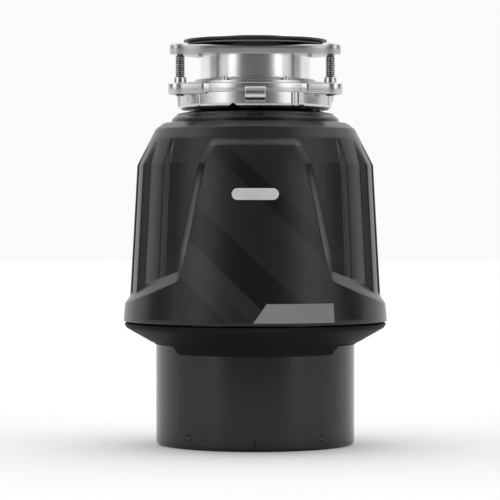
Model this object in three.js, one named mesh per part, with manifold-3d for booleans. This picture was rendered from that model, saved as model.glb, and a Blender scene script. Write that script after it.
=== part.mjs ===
// A kitchen garbage disposal of the three-bolt-mount kind, in millimetres, +Z up.
// The origin is the centre of the motor can's flat base. The front panel faces -Y and the drain outlet +Y.
import * as THREE from "three";
import { mergeVertices } from "three/addons/utils/BufferGeometryUtils.js";
import Module from "manifold-3d";

const wasm = await Module();
wasm.setup();

// ---- Driving dimensions ----
const GAP = 0.3; // clearance between neighbouring pieces
const SEGMENTS = 20; // sides of a round piece inside
const RING_SEGMENTS = 24; // sides of the sink mount's rings
const FINE_SEGMENTS = 36; // sides of the motor can and the covers
const SMALL_SEGMENTS = 10; // sides of a screw, pin or tube

const CAN_R = 79.2; // motor can
const CAN_WALL = 1.4;
const CAN_TOP = 112;
const SEAM_Z = 98.3; // lower edge of the casing
const SKIRT_R = 105.2; // casing radius at that edge
const BREAK_Z = 222.5; // where the casing's side turns into its shoulder
const BREAK_R = 94.2;
const SHOULDER_TOP_Z = 250.8;
const SHOULDER_TOP_R = 79.8;
const CASING_TOP_Z = 256.6;
const PANEL_TOP_Z = 238;

const SLEEVE_R = 43.6; // sink flange sleeve
const SLEEVE_BORE_R = 42.2;
const FLANGE_R = 57.2;
const EAR_R = 9.5; // ears of the mounting ring
const CLAMP_EAR_R = 8.2; // ears of the backup flange
const SCREW_CIRCLE_R = 68.2;
const SCREW_R = 3.7;
const SCREW_ANGLES = { left: 210, right: 330, back: 450 };
const LUG_ANGLES = { front: 270, left: 150, right: 30 };
const LOCK_RING_R = 61;

const SHAFT_R = 7.5;
const CORE_LOW = 50; // stator and rotor cores
const CORE_HIGH = 76;
const GRIND_PLATE_Z = 154;
const GRIND_PLATE_R = 60.5;
const LUG_PIN_R = 38; // distance of the swivel lugs' pins from the shaft

// ---- Materials ----
const material = (color, roughness, metalness) =>
  new THREE.MeshStandardMaterial({ color, roughness, metalness });
const blackPlastic = material(0x2b2a2a, 0.45, 0);
const blackPaint = material(0x262626, 0.4, 0.3);
const rubber = material(0x141414, 0.8, 0);
const stainless = material(0xc8cacc, 0.25, 1);
const castAluminium = material(0xb9bcbe, 0.45, 1);
const steel = material(0x8d9092, 0.4, 1);
const copper = material(0xb5662c, 0.4, 1);
const zincSteel = material(0xa3a6a8, 0.35, 1);
const darkPlastic = material(0x1c1c1c, 0.6, 0);
const fibre = material(0x5a554f, 0.9, 0);
const foam = material(0x3a3a3a, 0.95, 0);
const greyPlastic = material(0x85898c, 0.5, 0);
const red = material(0xb01818, 0.4, 0);

// ---- Shape helpers ----
const rad = THREE.MathUtils.degToRad;
const polar = (r, degrees) => [r * Math.cos(rad(degrees)), r * Math.sin(rad(degrees))];

function solid(geometry) {
  const bare = geometry.index ? geometry.toNonIndexed() : geometry.clone();
  bare.deleteAttribute("normal");
  bare.deleteAttribute("uv");
  const merged = mergeVertices(bare, 1e-4);
  return new wasm.Manifold(
    new wasm.Mesh({
      numProp: 3,
      vertProperties: merged.attributes.position.array,
      triVerts: new Uint32Array(merged.index.array),
    }),
  );
}

function geometryOf(manifold) {
  const mesh = manifold.getMesh();
  return new THREE.BufferGeometry()
    .setAttribute("position", new THREE.BufferAttribute(mesh.vertProperties, 3))
    .setIndex(new THREE.BufferAttribute(mesh.triVerts, 1));
}

// A solid of revolution about Z. The profile is a closed loop of [r, z], anticlockwise with r to the right.
function turned(profile, segments = SEGMENTS) {
  const loop = [...profile, profile[0]].map(([r, z]) => new THREE.Vector2(r, z));
  return new THREE.LatheGeometry(loop, segments).rotateX(Math.PI / 2);
}

function ring(inner, outer, low, high, segments = SEGMENTS) {
  return turned([[inner, low], [outer, low], [outer, high], [inner, high]], segments);
}

function rod(r, low, high, segments = SMALL_SEGMENTS) {
  return new THREE.CylinderGeometry(r, r, high - low, segments)
    .rotateX(Math.PI / 2)
    .translate(0, 0, (low + high) / 2);
}

function block(x, y, z, width, depth, height) {
  return new THREE.BoxGeometry(width, depth, height).translate(x, y, z);
}

// Points along an arc, angles in degrees.
function arc(x, y, r, from, to, steps) {
  return Array.from({ length: steps + 1 }, (_, i) => {
    const [dx, dy] = polar(r, from + ((to - from) * i) / steps);
    return new THREE.Vector2(x + dx, y + dy);
  });
}

const circle = (x, y, r, steps = SMALL_SEGMENTS) => arc(x, y, r, 0, 360, steps).slice(0, -1);

// A flat plate between two heights, from an outline and the outlines of its holes.
function plate(outline, holes, low, high) {
  const shape = new THREE.Shape(outline);
  shape.holes = holes.map((points) => new THREE.Path(points));
  return new THREE.ExtrudeGeometry(shape, { depth: high - low, bevelEnabled: false })
    .translate(0, 0, low);
}

const cut = (geometry, ...tools) =>
  geometryOf(tools.reduce((body, tool) => body.subtract(solid(tool)), solid(geometry)));

const join = (geometry, ...others) =>
  geometryOf(others.reduce((body, other) => body.add(solid(other)), solid(geometry)));

const assembly = new THREE.Group();
function piece(name, geometry, look) {
  const mesh = new THREE.Mesh(geometry, look);
  mesh.name = name;
  assembly.add(mesh);
  return mesh;
}

// ---- Sink mount: flange, gaskets, clamp rings and screws ----
function sinkFlange() {
  return turned([
    [SLEEVE_BORE_R, 287], [SLEEVE_R, 287], [SLEEVE_R, 319], [46, 321],
    [54.5, 321.9], [54.5, 323.4], [46.5, 322.6], [SLEEVE_BORE_R, 319.6],
  ], RING_SEGMENTS);
}

function sinkGasket() {
  return turned([
    [SLEEVE_R + GAP, 318.4], [47.5, 318.9], [FLANGE_R, 320.7], [FLANGE_R, 322.4],
    [55, 322.4], [55, 321.5], [46.2, 320.6], [SLEEVE_R + GAP, 318.9],
  ], RING_SEGMENTS);
}

// The outline of a clamp ring: three rounded ears around the screws. Between two ears the edge runs through
// points given from the middle of that side to one ear: [how far along the side, how far out from the axis].
function earedOutline(ear, edge) {
  const side = [...edge.map(([along, out]) => [-along, out]).reverse(), ...edge];
  return Object.values(SCREW_ANGLES).flatMap((angle) => [
    ...arc(...polar(SCREW_CIRCLE_R, angle), ear, angle - 60, angle + 60, 6),
    ...side.map(([along, out]) =>
      new THREE.Vector2(...polar(out, angle + 60)).add(new THREE.Vector2(...polar(along, angle + 150)))),
  ]);
}

const screwHoles = () =>
  Object.values(SCREW_ANGLES).map((angle) =>
    circle(...polar(SCREW_CIRCLE_R, angle), SCREW_R + GAP));

function backupFlange() {
  const bore = circle(0, 0, SLEEVE_R + GAP, RING_SEGMENTS);
  const outline = earedOutline(CLAMP_EAR_R, [[36, 47.9], [44, 46.6], [51, 44.2]]);
  const body = plate(outline, [bore], 309.3, 316.3);
  const caps = Object.values(SCREW_ANGLES).map((angle) =>
    rod(CLAMP_EAR_R - 0.6, 316, 317.4, 16).translate(...polar(SCREW_CIRCLE_R, angle), 0));
  return join(body, ...caps);
}

function mountingRing() {
  const holes = [circle(0, 0, 46, RING_SEGMENTS), ...screwHoles()];
  const recess = ring(50, 56, 278, 283.5, RING_SEGMENTS);
  const outline = earedOutline(EAR_R, [[7.7, 58.5], [22.6, 54.5], [35.9, 46.8], [40.6, 49.9]]);
  const body = cut(plate(outline, holes, 279.3, 286.6), recess);
  const feet = cut(plate(outline, holes, 277.6, 279.5), rod(61.6, 270, 290, RING_SEGMENTS));
  const bosses = Object.values(SCREW_ANGLES).map((angle) =>
    ring(SCREW_R + GAP, 5, 286.4, 291, SMALL_SEGMENTS).translate(...polar(SCREW_CIRCLE_R, angle), 0));
  return join(body, feet, ...bosses);
}

// A split spring ring in the sleeve's groove.
function snapRing() {
  const gap = 6; // half the split's angle
  const outline = [
    ...arc(0, 0, 48.5, 90 + gap, 450 - gap, RING_SEGMENTS),
    ...arc(0, 0, SLEEVE_R + 0.7, 450 - gap, 90 + gap, RING_SEGMENTS),
  ];
  return plate(outline, [], 287.6, 290.6);
}

// A headless screw turns in the mounting ring's ear. Its tip bears on the backup flange; its foot is slotted.
function mountingScrew(x, y) {
  const screw = turned([[0, 276.4], [SCREW_R, 276.4], [SCREW_R, 308], [2.8, 309], [0, 309]], SMALL_SEGMENTS);
  return cut(screw, block(0, 0, 276, 9, 1.2, 4)).translate(x, y, 0);
}

function lockRing() {
  let body = turned([
    [50.8, 272.8], [51.8, 266.8], [57.4, 266.4], [LOCK_RING_R, 269.8], [LOCK_RING_R, 278.9], [50.8, 278.9],
  ], RING_SEGMENTS);
  for (const angle of Object.values(LUG_ANGLES)) {
    const roll = (r, width) =>
      new THREE.CylinderGeometry(r, r, width, 10).scale(0.8, 1, 1).translate(64.3, 0, 277.5);
    const lug = roll(5.7, 16);
    const bore = roll(3.6, 18);
    const tab = block(53, 0, 280.4, 3.6, 12, 3.4);
    const turn = (g) => g.rotateZ(rad(angle));
    body = join(body, turn(lug), turn(tab));
    body = cut(body, turn(bore));
  }
  return body;
}

function mountingGasket() {
  return turned([
    [41, 265.6], [44.4, 265.6], [44.4, 267.4], [50.1, 271], [50.1, 277.4], [45.3, 278.8],
    [45.3, 286.4], [41, 286.4],
  ], RING_SEGMENTS);
}

// The baffle's rubber flaps, slit into petals round a centre hole.
function splashBaffle() {
  const petals = 6;
  let body = turned([
    [9, 267], [36, 270.2], [40.4, 270.2], [40.4, 285], [38.4, 285], [38.4, 272.2], [9, 269],
  ]);
  for (let i = 0; i < petals; i++) {
    const slit = block(20, 0, 269.5, 27, 1.2, 8).rotateZ((i * 2 * Math.PI) / petals + 0.05);
    body = cut(body, slit);
  }
  return body;
}

piece("sink_flange", sinkFlange(), stainless);
piece("sink_gasket", sinkGasket(), rubber);
piece("fibre_gasket", ring(SLEEVE_R + GAP, 50, 316.7, 318.1, RING_SEGMENTS), fibre);
piece("backup_flange", backupFlange(), zincSteel);
piece("snap_ring", snapRing(), steel);
piece("mounting_ring", mountingRing(), zincSteel);
for (const [side, angle] of Object.entries(SCREW_ANGLES)) {
  piece(`mounting_screw_${side}`, mountingScrew(...polar(SCREW_CIRCLE_R, angle)), steel);
}
piece("lock_ring", lockRing(), zincSteel);
piece("mounting_gasket", mountingGasket(), rubber);
piece("splash_baffle", splashBaffle(), rubber);

// ---- Casing ----
// The casing's side facets stand back from its raised ribs. A tapered panel stands proud at front and back.
const FACET_DEPTH = 4;
const LEDGE_DEG = [36.5, 90]; // from the panel's edge round to the side
const LEDGE_LOW = [131, 112.4];
const LEDGE_HIGH = [141, 124.4];

const mix = (a, b, t) => a + (b - a) * Math.min(1, Math.max(0, t));
const sideRadius = (z) => mix(101, BREAK_R, (z - SEAM_Z) / (BREAK_Z - SEAM_Z));
const shoulderRadius = (z) =>
  mix(BREAK_R, SHOULDER_TOP_R, (z - BREAK_Z) / (SHOULDER_TOP_Z - BREAK_Z));

// The panel leans back evenly, and curves in towards its top.
const PANEL_CURVE_Z = 190;
const PANEL_BEVEL_DEG = 2.2;
const panelRadius = (z) =>
  SKIRT_R - 0.085 * (z - SEAM_Z) - 0.00195 * Math.max(0, z - PANEL_CURVE_Z) ** 2;
const panelHalfDeg = (z) =>
  z < LEDGE_LOW[0]
    ? LEDGE_DEG[0]
    : mix(LEDGE_DEG[0], 21.6, (z - LEDGE_LOW[0]) / (PANEL_TOP_Z + 2.4 - LEDGE_LOW[0]));

// Columns between the panel and the side: [degrees from the front, how far the column stands back, 0 to 1].
const SIDE_COLUMNS = [
  [48, 1], [49.8, 1.35], [51.5, 1], [65.5, 1], [69.5, 0], [77, 0], [79, 1], [83.5, 1], [86.5, 0],
];

// One quarter of a level, from the front centre line to the side.
function casingQuarter(level) {
  const half = panelHalfDeg(level.z(LEDGE_DEG[0]));
  const point = (deg, radius) => {
    const z = level.z(deg);
    return [deg, level.radius ? level.radius(z) : radius(z), z];
  };
  const panel = [0, half / 3, (2 * half) / 3, half - PANEL_BEVEL_DEG].map((deg) => point(deg, panelRadius));
  const foot = point(half, level.foot ?? ((z) => sideRadius(z) - FACET_DEPTH));
  const side = SIDE_COLUMNS.map(([deg, back]) =>
    point(deg, level.side ? (z) => level.side(z, back) : (z) => sideRadius(z) - FACET_DEPTH * back));
  return [...panel, foot, ...side];
}

const ledge = (heights) => (deg) =>
  mix(heights[0], heights[1], (deg - LEDGE_DEG[0]) / (LEDGE_DEG[1] - LEDGE_DEG[0]));
const flat = (z) => () => z;
const recess = (z, back) =>
  shoulderRadius(z) - FACET_DEPTH * back * mix(1, 0, (z - BREAK_Z) / (243 - BREAK_Z));

const casingLevels = [
  { z: flat(SEAM_Z), radius: panelRadius },
  { z: ledge(LEDGE_LOW), radius: panelRadius },
  { z: ledge(LEDGE_HIGH) },
  { z: flat(PANEL_CURVE_Z) },
  { z: flat(BREAK_Z), side: recess, foot: (z) => recess(z, 1) },
  { z: flat(PANEL_TOP_Z), side: recess, foot: (z) => recess(z, 1) },
  { z: flat(PANEL_TOP_Z + 2.6), radius: shoulderRadius },
  { z: flat(SHOULDER_TOP_Z), radius: () => SHOULDER_TOP_R },
  { z: flat(254.6), radius: () => 76 },
  { z: flat(CASING_TOP_Z), radius: () => 71 },
];

// Mirrors a quarter to a full turn, starting at the front and running towards +X.
function fullTurn(quarter) {
  const half = [...quarter, [90, quarter.at(-1)[1], quarter.at(-1)[2]],
    ...[...quarter].reverse().map(([deg, r, z]) => [180 - deg, r, z])];
  const mirrored = half.slice(1, -1).reverse().map(([deg, r, z]) => [360 - deg, r, z]);
  return [...half, ...mirrored].map(([deg, r, z]) => [...polar(r, deg - 90), z]);
}

// A closed surface through loops of points; the last loop joins the first.
function lofted(loops) {
  const count = loops[0].length;
  const triangles = [];
  loops.forEach((loop, i) => {
    const next = loops[(i + 1) % loops.length];
    for (let j = 0; j < count; j++) {
      const k = (j + 1) % count;
      triangles.push(...loop[j], ...loop[k], ...next[k], ...loop[j], ...next[k], ...next[j]);
    }
  });
  return new THREE.BufferGeometry()
    .setAttribute("position", new THREE.Float32BufferAttribute(triangles, 3));
}

const OUTLET_Z = 137;
const OUTLET_FACE_Y = 97; // the outlet stack stands on this face and ends inside the casing's radius
const INLET = { x: -34, z: 232 };

function casing() {
  const outer = casingLevels.map((level) => fullTurn(casingQuarter(level)));
  const count = outer[0].length;
  const bore = (z) => outer[0].map((_, i) => [...polar(30, (i * 360) / count - 90), z]);
  const body = lofted([...outer, bore(CASING_TOP_Z), bore(SEAM_Z)]);
  const hollow = turned([
    [0, SEAM_Z - 1], [102, SEAM_Z - 1], [101.5, 112], [92.8, 128], [91.9, 150], [87.8, BREAK_Z],
    [73.4, 250], [67.6, 254], [67.6, CASING_TOP_Z + 1], [0, CASING_TOP_Z + 1],
  ], RING_SEGMENTS);
  const outletWindow = block(0, 95, OUTLET_Z, 76, 40, 54);
  const inletWindow = new THREE.CylinderGeometry(14, 14, 60, SMALL_SEGMENTS).translate(INLET.x, 90, INLET.z);
  return cut(body, hollow, outletWindow, inletWindow);
}

function casingCollar() {
  return turned([
    [49, 255.4], [66.6, 255.4], [66.6, 258.8], [62.6, 262.8], [52, 265], [46.5, 265.2], [46.5, 262.4],
    [49, 262],
  ], FINE_SEGMENTS);
}

function lowerCover() {
  return turned([
    [CAN_R + 0.5, 74], [81, 74], [81.2, 79.6], [102.8, 92.8], [104.2, 95], [104.2, 96.8],
    [100.4, 97.6], [100.4, 95], [CAN_R + 0.5, 82],
  ], FINE_SEGMENTS);
}

piece("casing", casing(), blackPlastic);
piece("casing_collar", casingCollar(), blackPlastic);
piece("lower_cover", lowerCover(), blackPlastic);

// ---- Grind chamber ----
// The hopper's neck carries the mounting gasket. A knock-out plug closes the dishwasher inlet on its side.
function container() {
  const neck = turned([
    [40.6, 265.3], [40.6, 257], [60, 246], [69, 226], [69, 176.6], [71.5, 176.6],
    [71.5, 227], [62, 248.6], [45.8, 256.6], [45.8, 265.3],
  ]);
  const barb = new THREE.CylinderGeometry(11, 11, 40, SMALL_SEGMENTS).translate(INLET.x, 75, INLET.z);
  const bore = new THREE.CylinderGeometry(8.2, 8.2, 40, SMALL_SEGMENTS).translate(INLET.x, 85.5, INLET.z);
  const hollow = turned([[0, 180], [68.6, 180], [68.6, 226], [59.6, 245.8], [0, 245.8]]);
  return cut(join(neck, cut(barb, hollow)), bore);
}

// The fixed shredder ring: food is ground between its slots and the turning plate.
function grindRing() {
  const slots = 10;
  let body = ring(61.8, 69.4, 152.4, 176.2);
  for (let i = 0; i < slots; i++) {
    const slot = block(62.5, 0, 158, 6, 3.2, 9).rotateZ((i * 2 * Math.PI) / slots);
    body = cut(body, slot);
  }
  return body;
}

function grindPlate() {
  const drainHoles = 6;
  let body = turned([
    [SHAFT_R - 0.8, GRIND_PLATE_Z], [GRIND_PLATE_R, GRIND_PLATE_Z], [GRIND_PLATE_R, GRIND_PLATE_Z + 2.4],
    [20, GRIND_PLATE_Z + 2.4], [15, GRIND_PLATE_Z + 4],
    [SHAFT_R - 0.8, GRIND_PLATE_Z + 4],
  ]);
  for (let i = 0; i < drainHoles; i++) {
    const hole = rod(2.4, 150, 162, 8).translate(...polar(50, 30 + i * 60), 0);
    body = cut(body, hole);
  }
  for (const side of [-1, 1]) {
    body = cut(body, rod(2.6, 150, 162, 8).translate(side * LUG_PIN_R, 0, 0));
  }
  return body;
}

// A swivel lug: a bar with a raised hammer end, free to turn on its pin.
function swivelLug(side) {
  const outline = [
    ...arc(LUG_PIN_R, 0, 7.4, 90, 270, 6),
    ...arc(LUG_PIN_R + 11, 0, 7.4, -90, 90, 6),
  ];
  const bar = plate(outline, [circle(LUG_PIN_R, 0, 3.4)], GRIND_PLATE_Z + 2.8, GRIND_PLATE_Z + 6.8);
  const head = [
    ...arc(LUG_PIN_R + 11, 0, 7.4, -60, 60, 4),
    new THREE.Vector2(LUG_PIN_R + 9.5, 6),
    new THREE.Vector2(LUG_PIN_R + 9.5, -6),
  ];
  const hammer = plate(head, [], GRIND_PLATE_Z + 6, GRIND_PLATE_Z + 15);
  return join(bar, hammer).rotateZ(side > 0 ? 0 : Math.PI);
}

function lugPin(side) {
  return turned([
    [0, GRIND_PLATE_Z - 1.8], [4, GRIND_PLATE_Z - 1.8], [4, GRIND_PLATE_Z - 0.3], [2.3, GRIND_PLATE_Z - 0.3],
    [2.3, GRIND_PLATE_Z + 2.7], [3.1, GRIND_PLATE_Z + 2.7], [3.1, GRIND_PLATE_Z + 7.1],
    [5, GRIND_PLATE_Z + 7.1], [4, GRIND_PLATE_Z + 8.9], [0, GRIND_PLATE_Z + 8.9],
  ], 10).translate(side * LUG_PIN_R, 0, 0);
}

// The cast end bell closes the motor's top and carries ground waste round to the drain outlet.
function upperEndBell() {
  const bell = turned([
    [16.5, 110], [21, 110], [21, 114.5], [78.6, 112.3], [78.6, 117], [70.7, 119], [70.7, 146],
    [74.5, 152.1], [69.8, 152.1], [65, 147], [65, 128], [21.5, 121.5], [20, 140], [13.4, 140],
    [13.4, 130], [16.5, 130],
  ]);
  const spout = new THREE.CylinderGeometry(22, 22, 34, 18).translate(0, 80, OUTLET_Z);
  const face = block(0, OUTLET_FACE_Y - 2.4, OUTLET_Z, 68, 4.8, 46);
  const bore = new THREE.CylinderGeometry(18.5, 18.5, 50, 18).translate(0, 86, OUTLET_Z);
  const inside = turned([
    [0, 122.5], [22, 122.5], [64.7, 128.6], [64.7, 148], [70.2, 152], [70.2, 165], [0, 165],
  ]);
  let outlet = cut(join(face, spout), inside);
  for (const x of [-27, 27]) {
    outlet = cut(outlet, new THREE.CylinderGeometry(3, 3, 14, 8).translate(x, OUTLET_FACE_Y, OUTLET_Z));
  }
  return cut(join(bell, outlet), bore);
}

function outletGasket() {
  const outline = circle(0, 0, 22, 18);
  return plate(outline, [circle(0, 0, 18.5, 18)], -0.9, 0.9)
    .rotateX(Math.PI / 2).translate(0, OUTLET_FACE_Y + 1.2, OUTLET_Z);
}

// The loose metal flange that clamps a drain pipe to the outlet.
function outletFlange() {
  const outline = [
    ...arc(27, 0, 8, -60, 60, 4), ...arc(0, 0, 24.5, 40, 140, 5),
    ...arc(-27, 0, 8, 120, 240, 4), ...arc(0, 0, 24.5, 220, 320, 5),
  ];
  const holes = [circle(0, 0, 19.5, 18), circle(27, 0, 3, 8), circle(-27, 0, 3, 8)];
  return plate(outline, holes, -1, 1).rotateX(Math.PI / 2).translate(0, OUTLET_FACE_Y + 3.4, OUTLET_Z);
}

// A flange screw: its hex head keeps inside the casing's radius.
function outletScrew(x) {
  return join(rod(2.6, 0, 12, 8), rod(4.6, -2.9, 0, 6))
    .rotateX(Math.PI / 2).translate(x, OUTLET_FACE_Y + 4.7, OUTLET_Z);
}

piece("container", container(), greyPlastic);
piece("acoustic_foam", cut(
  turned([[73.4, 178], [86.4, 178], [83, 222], [72.5, 238], [72.5, 222], [73.4, 200]]),
  new THREE.CylinderGeometry(13, 13, 90, SMALL_SEGMENTS).translate(INLET.x, 85, INLET.z),
), foam);
piece("grind_ring", grindRing(), steel);
piece("grind_plate", grindPlate(), stainless);
for (const [name, side] of [["a", 1], ["b", -1]]) {
  piece(`swivel_lug_${name}`, swivelLug(side), stainless);
  piece(`lug_pin_${name}`, lugPin(side), steel);
}
piece("plate_nut", cut(rod(10.5, 158.4, 164, 6), rod(6.2, 150, 170, 12)), steel);
piece("upper_end_bell", upperEndBell(), castAluminium);
piece("outlet_gasket", outletGasket(), rubber);
piece("outlet_flange", outletFlange(), steel);
for (const [name, x] of [["left", 27], ["right", -27]]) {
  piece(`outlet_screw_${name}`, outletScrew(x), steel);
}

// ---- Motor ----
const BOLT_CIRCLE_R = 71.5;
const BOLT_ANGLES = { front_right: 315, front_left: 225, back_left: 135, back_right: 45 };
const boltHoles = (r) => Object.values(BOLT_ANGLES).map((angle) => rod(r, 0, 130, 8)
  .translate(...polar(BOLT_CIRCLE_R, angle), 0));

// The can's lower rim is rolled inwards, which gives the flat ring that it stands on.
function motorCan() {
  return turned([
    [70, 0], [77.6, 0], [CAN_R, 2], [CAN_R, CAN_TOP], [CAN_R - CAN_WALL, CAN_TOP],
    [CAN_R - CAN_WALL, 1.5], [70, 1.5],
  ], FINE_SEGMENTS);
}

const RESET = { x: 0, y: -44 };
const SUPPLY = { x: 46, y: 0 };

// The plate closing the can's underside, with holes for the wrench, the reset button and the wiring box.
function baseCover() {
  const outline = circle(0, 0, 77.3, SEGMENTS);
  const holes = [
    circle(0, 0, 10, 12),
    circle(RESET.x, RESET.y, 6.4),
    circle(SUPPLY.x, SUPPLY.y + 19, 2.4, 8),
  ];
  const cover = plate(outline, holes, 3.4, 6);
  return cut(cover, block(SUPPLY.x, SUPPLY.y - 6, 4.5, 28, 30, 6));
}

function terminalCover() {
  const opening = circle(SUPPLY.x, SUPPLY.y - 6, 11.2, 12);
  const screw = circle(SUPPLY.x, SUPPLY.y + 19, 2.4, 8);
  const outline = [[-18, -24], [18, -24], [18, 24], [-18, 24]]
    .map(([x, y]) => new THREE.Vector2(SUPPLY.x + x, SUPPLY.y + y));
  return plate(outline, [opening, screw], 1.7, 3.1);
}

function cableGrommet() {
  return turned([
    [8, 0.4], [12.8, 0.4], [12.8, 1.4], [10.8, 1.4], [10.8, 3.4], [12.8, 3.4], [12.8, 4.6], [8, 4.6],
  ], 12)
    .translate(SUPPLY.x, SUPPLY.y - 6, 0);
}

function terminalScrew() {
  return join(rod(2, 0.3, 9.5, 8), rod(3.8, 0.3, 1.4, 12)).translate(SUPPLY.x, SUPPLY.y + 19, 0);
}

function lowerEndBell() {
  const body = turned([
    [6.7, 14], [13, 14], [13, 22], [76.9, 24], [76.9, 28], [13, 31], [11.6, 31], [11.6, 19],
    [6.7, 19],
  ]);
  return cut(body, ...boltHoles(2.7));
}

function overloadProtector() {
  const housing = block(RESET.x, RESET.y, 15, 22, 16, 9);
  return cut(housing, rod(4.4, 0, 17, 14).translate(RESET.x, RESET.y, 0));
}

function resetButton() {
  return turned([[0, 1.2], [4.4, 1.2], [5.2, 2], [5.2, 6.6], [4, 6.6], [4, 12.6], [0, 12.6]], 14)
    .translate(RESET.x, RESET.y, 0);
}

function statorCore() {
  const slots = 12;
  const bore = Array.from({ length: slots }, (_, i) => {
    const start = (i * 360) / slots;
    return [...arc(0, 0, 38.9, start, start + 20, 2), ...arc(0, 0, 51, start + 21, start + 29, 1)];
  }).flat();
  return cut(plate(circle(0, 0, 77, SEGMENTS), [bore], CORE_LOW, CORE_HIGH), ...boltHoles(2.7));
}

// The end turns of the windings bulge out above and below the core.
function windingEnd(base, direction) {
  const profile = [[52, 0.4], [63, 0.4], [65, 6], [61, 12], [51, 12], [48, 6]]
    .map(([r, z]) => [r, base + direction * z]);
  return turned(direction > 0 ? profile : profile.reverse());
}

function rotorEndRing(base, direction) {
  const profile = [[24, 0.3], [37.4, 0.3], [35, 9], [26, 9]]
    .map(([r, z]) => [r, base + direction * z]);
  return turned(direction > 0 ? profile : profile.reverse());
}

// The shaft stands on the lower bearing, and its foot has the hex socket for the freeing wrench.
function motorShaft() {
  const shaft = turned([
    [0, 8], [6, 8], [6, 33.4], [SHAFT_R, 33.4], [SHAFT_R, 152], [5.8, 152], [5.8, 168], [0, 168],
  ], 16);
  return cut(shaft, rod(3.7, 6, 16, 6));
}

// The switch's arm lies over the governor collar, which lets go of it once the motor is up to speed.
function startSwitch() {
  return join(block(0, 28, 104, 20, 16, 11), block(0, 16, 97.7, 8, 16, 2.6));
}

function throughBolt(angle) {
  const [x, y] = polar(BOLT_CIRCLE_R, angle);
  return join(rod(2.3, 21, 112, 8), rod(4.3, 18.6, 23.6, 6)).translate(x, y, 0);
}

piece("motor_can", motorCan(), blackPaint);
piece("base_cover", baseCover(), blackPaint);
piece("terminal_cover", terminalCover(), steel);
piece("terminal_screw", terminalScrew(), steel);
piece("cable_grommet", cableGrommet(), rubber);
piece("lower_end_bell", lowerEndBell(), castAluminium);
piece("lower_bearing", ring(6.4, 11.2, 19.3, 31, 16), copper);
piece("thrust_washer", ring(6.4, 11.2, 31.3, 33, 16), steel);
piece("overload_protector", overloadProtector(), darkPlastic);
piece("reset_button", resetButton(), red);
piece("stator_core", statorCore(), steel);
piece("winding_lower", windingEnd(CORE_LOW, -1), copper);
piece("winding_upper", windingEnd(CORE_HIGH, 1), copper);
piece("rotor_core", ring(7.9, 38, CORE_LOW, CORE_HIGH), steel);
piece("rotor_ring_lower", rotorEndRing(CORE_LOW, -1), castAluminium);
piece("rotor_ring_upper", rotorEndRing(CORE_HIGH, 1), castAluminium);
piece("motor_shaft", motorShaft(), steel);
piece("governor_collar", ring(7.9, 16, 92, 96, 16), greyPlastic);
piece("start_switch", startSwitch(), darkPlastic);
piece("upper_bearing", ring(SHAFT_R + 0.4, 16.1, 112, 129.6, 16), copper);
piece("shaft_seal", turned([
  [SHAFT_R + 0.4, 130.4], [12.9, 130.4], [12.9, 139.6], [10.5, 139.6], [10.5, 133], [SHAFT_R + 0.4, 133],
], 16), rubber);
piece("slinger", turned([
  [SHAFT_R + 0.4, 134], [9.8, 134], [9.8, 141], [21.5, 141], [21.5, 143.4], [SHAFT_R + 0.4, 143.4],
], 16), rubber);
for (const [name, angle] of Object.entries(BOLT_ANGLES)) {
  piece(`through_bolt_${name}`, throughBolt(angle), steel);
}

export default assembly;
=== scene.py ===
import math

import bmesh
import bpy
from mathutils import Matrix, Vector


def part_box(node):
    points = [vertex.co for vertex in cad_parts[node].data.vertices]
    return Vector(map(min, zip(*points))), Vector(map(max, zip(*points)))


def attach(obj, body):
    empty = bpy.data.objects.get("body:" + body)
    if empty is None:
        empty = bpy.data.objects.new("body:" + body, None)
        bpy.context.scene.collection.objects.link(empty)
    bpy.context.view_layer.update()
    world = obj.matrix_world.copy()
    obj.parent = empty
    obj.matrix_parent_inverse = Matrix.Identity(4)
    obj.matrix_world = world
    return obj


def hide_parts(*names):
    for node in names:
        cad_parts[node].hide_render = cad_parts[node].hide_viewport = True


# A kitchen garbage disposal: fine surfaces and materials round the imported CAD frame.
# Shapes are worked out in millimetres and written to the meshes in metres.

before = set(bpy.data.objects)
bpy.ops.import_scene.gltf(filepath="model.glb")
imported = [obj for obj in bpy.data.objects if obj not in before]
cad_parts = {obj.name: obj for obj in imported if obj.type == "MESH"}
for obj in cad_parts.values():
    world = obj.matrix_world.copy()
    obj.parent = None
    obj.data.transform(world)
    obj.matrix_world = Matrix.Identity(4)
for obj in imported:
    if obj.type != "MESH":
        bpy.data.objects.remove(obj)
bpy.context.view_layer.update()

MM = 0.001
STEPS = 160  # columns of a large round piece
SMALL_STEPS = 48  # columns of a screw, pin or tube
ROUND_STEPS = 5  # faces across a rounded corner
WELD = 1e-6  # points closer than this are one, in metres

SCREW_CIRCLE_R = 68.2
LUG_ANGLES = (270, 150, 30)
THREAD_PITCH = 25.4 / 18


# ---- Frame ----
def span(node):
    """A node's lowest and highest z and its greatest x, in millimetres."""
    low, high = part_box(node)
    return low.z / MM, high.z / MM, high.x / MM


def polar(r, degrees):
    a = math.radians(degrees)
    return r * math.cos(a), r * math.sin(a)


SCREWS = {side: polar(SCREW_CIRCLE_R, angle) for side, angle in (("left", 210), ("right", 330), ("back", 90))}


def mix(a, b, t):
    return a + (b - a) * min(1.0, max(0.0, t))


def smooth(t):
    t = min(1.0, max(0.0, t))
    return t * t * (3 - 2 * t)


# ---- Mesh helpers ----
def finish_mesh(obj, sharp=32):
    """Closes and cleans a mesh, turns its faces outwards and shades it smooth up to the sharp angle."""
    bm = bmesh.new()
    bm.from_mesh(obj.data)
    bmesh.ops.remove_doubles(bm, verts=bm.verts, dist=WELD)
    bmesh.ops.dissolve_degenerate(bm, dist=WELD, edges=bm.edges)
    bmesh.ops.recalc_face_normals(bm, faces=bm.faces)
    bm.to_mesh(obj.data)
    bm.free()
    obj.data.shade_smooth()
    obj.data.set_sharp_from_angle(angle=math.radians(sharp))
    return obj


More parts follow.
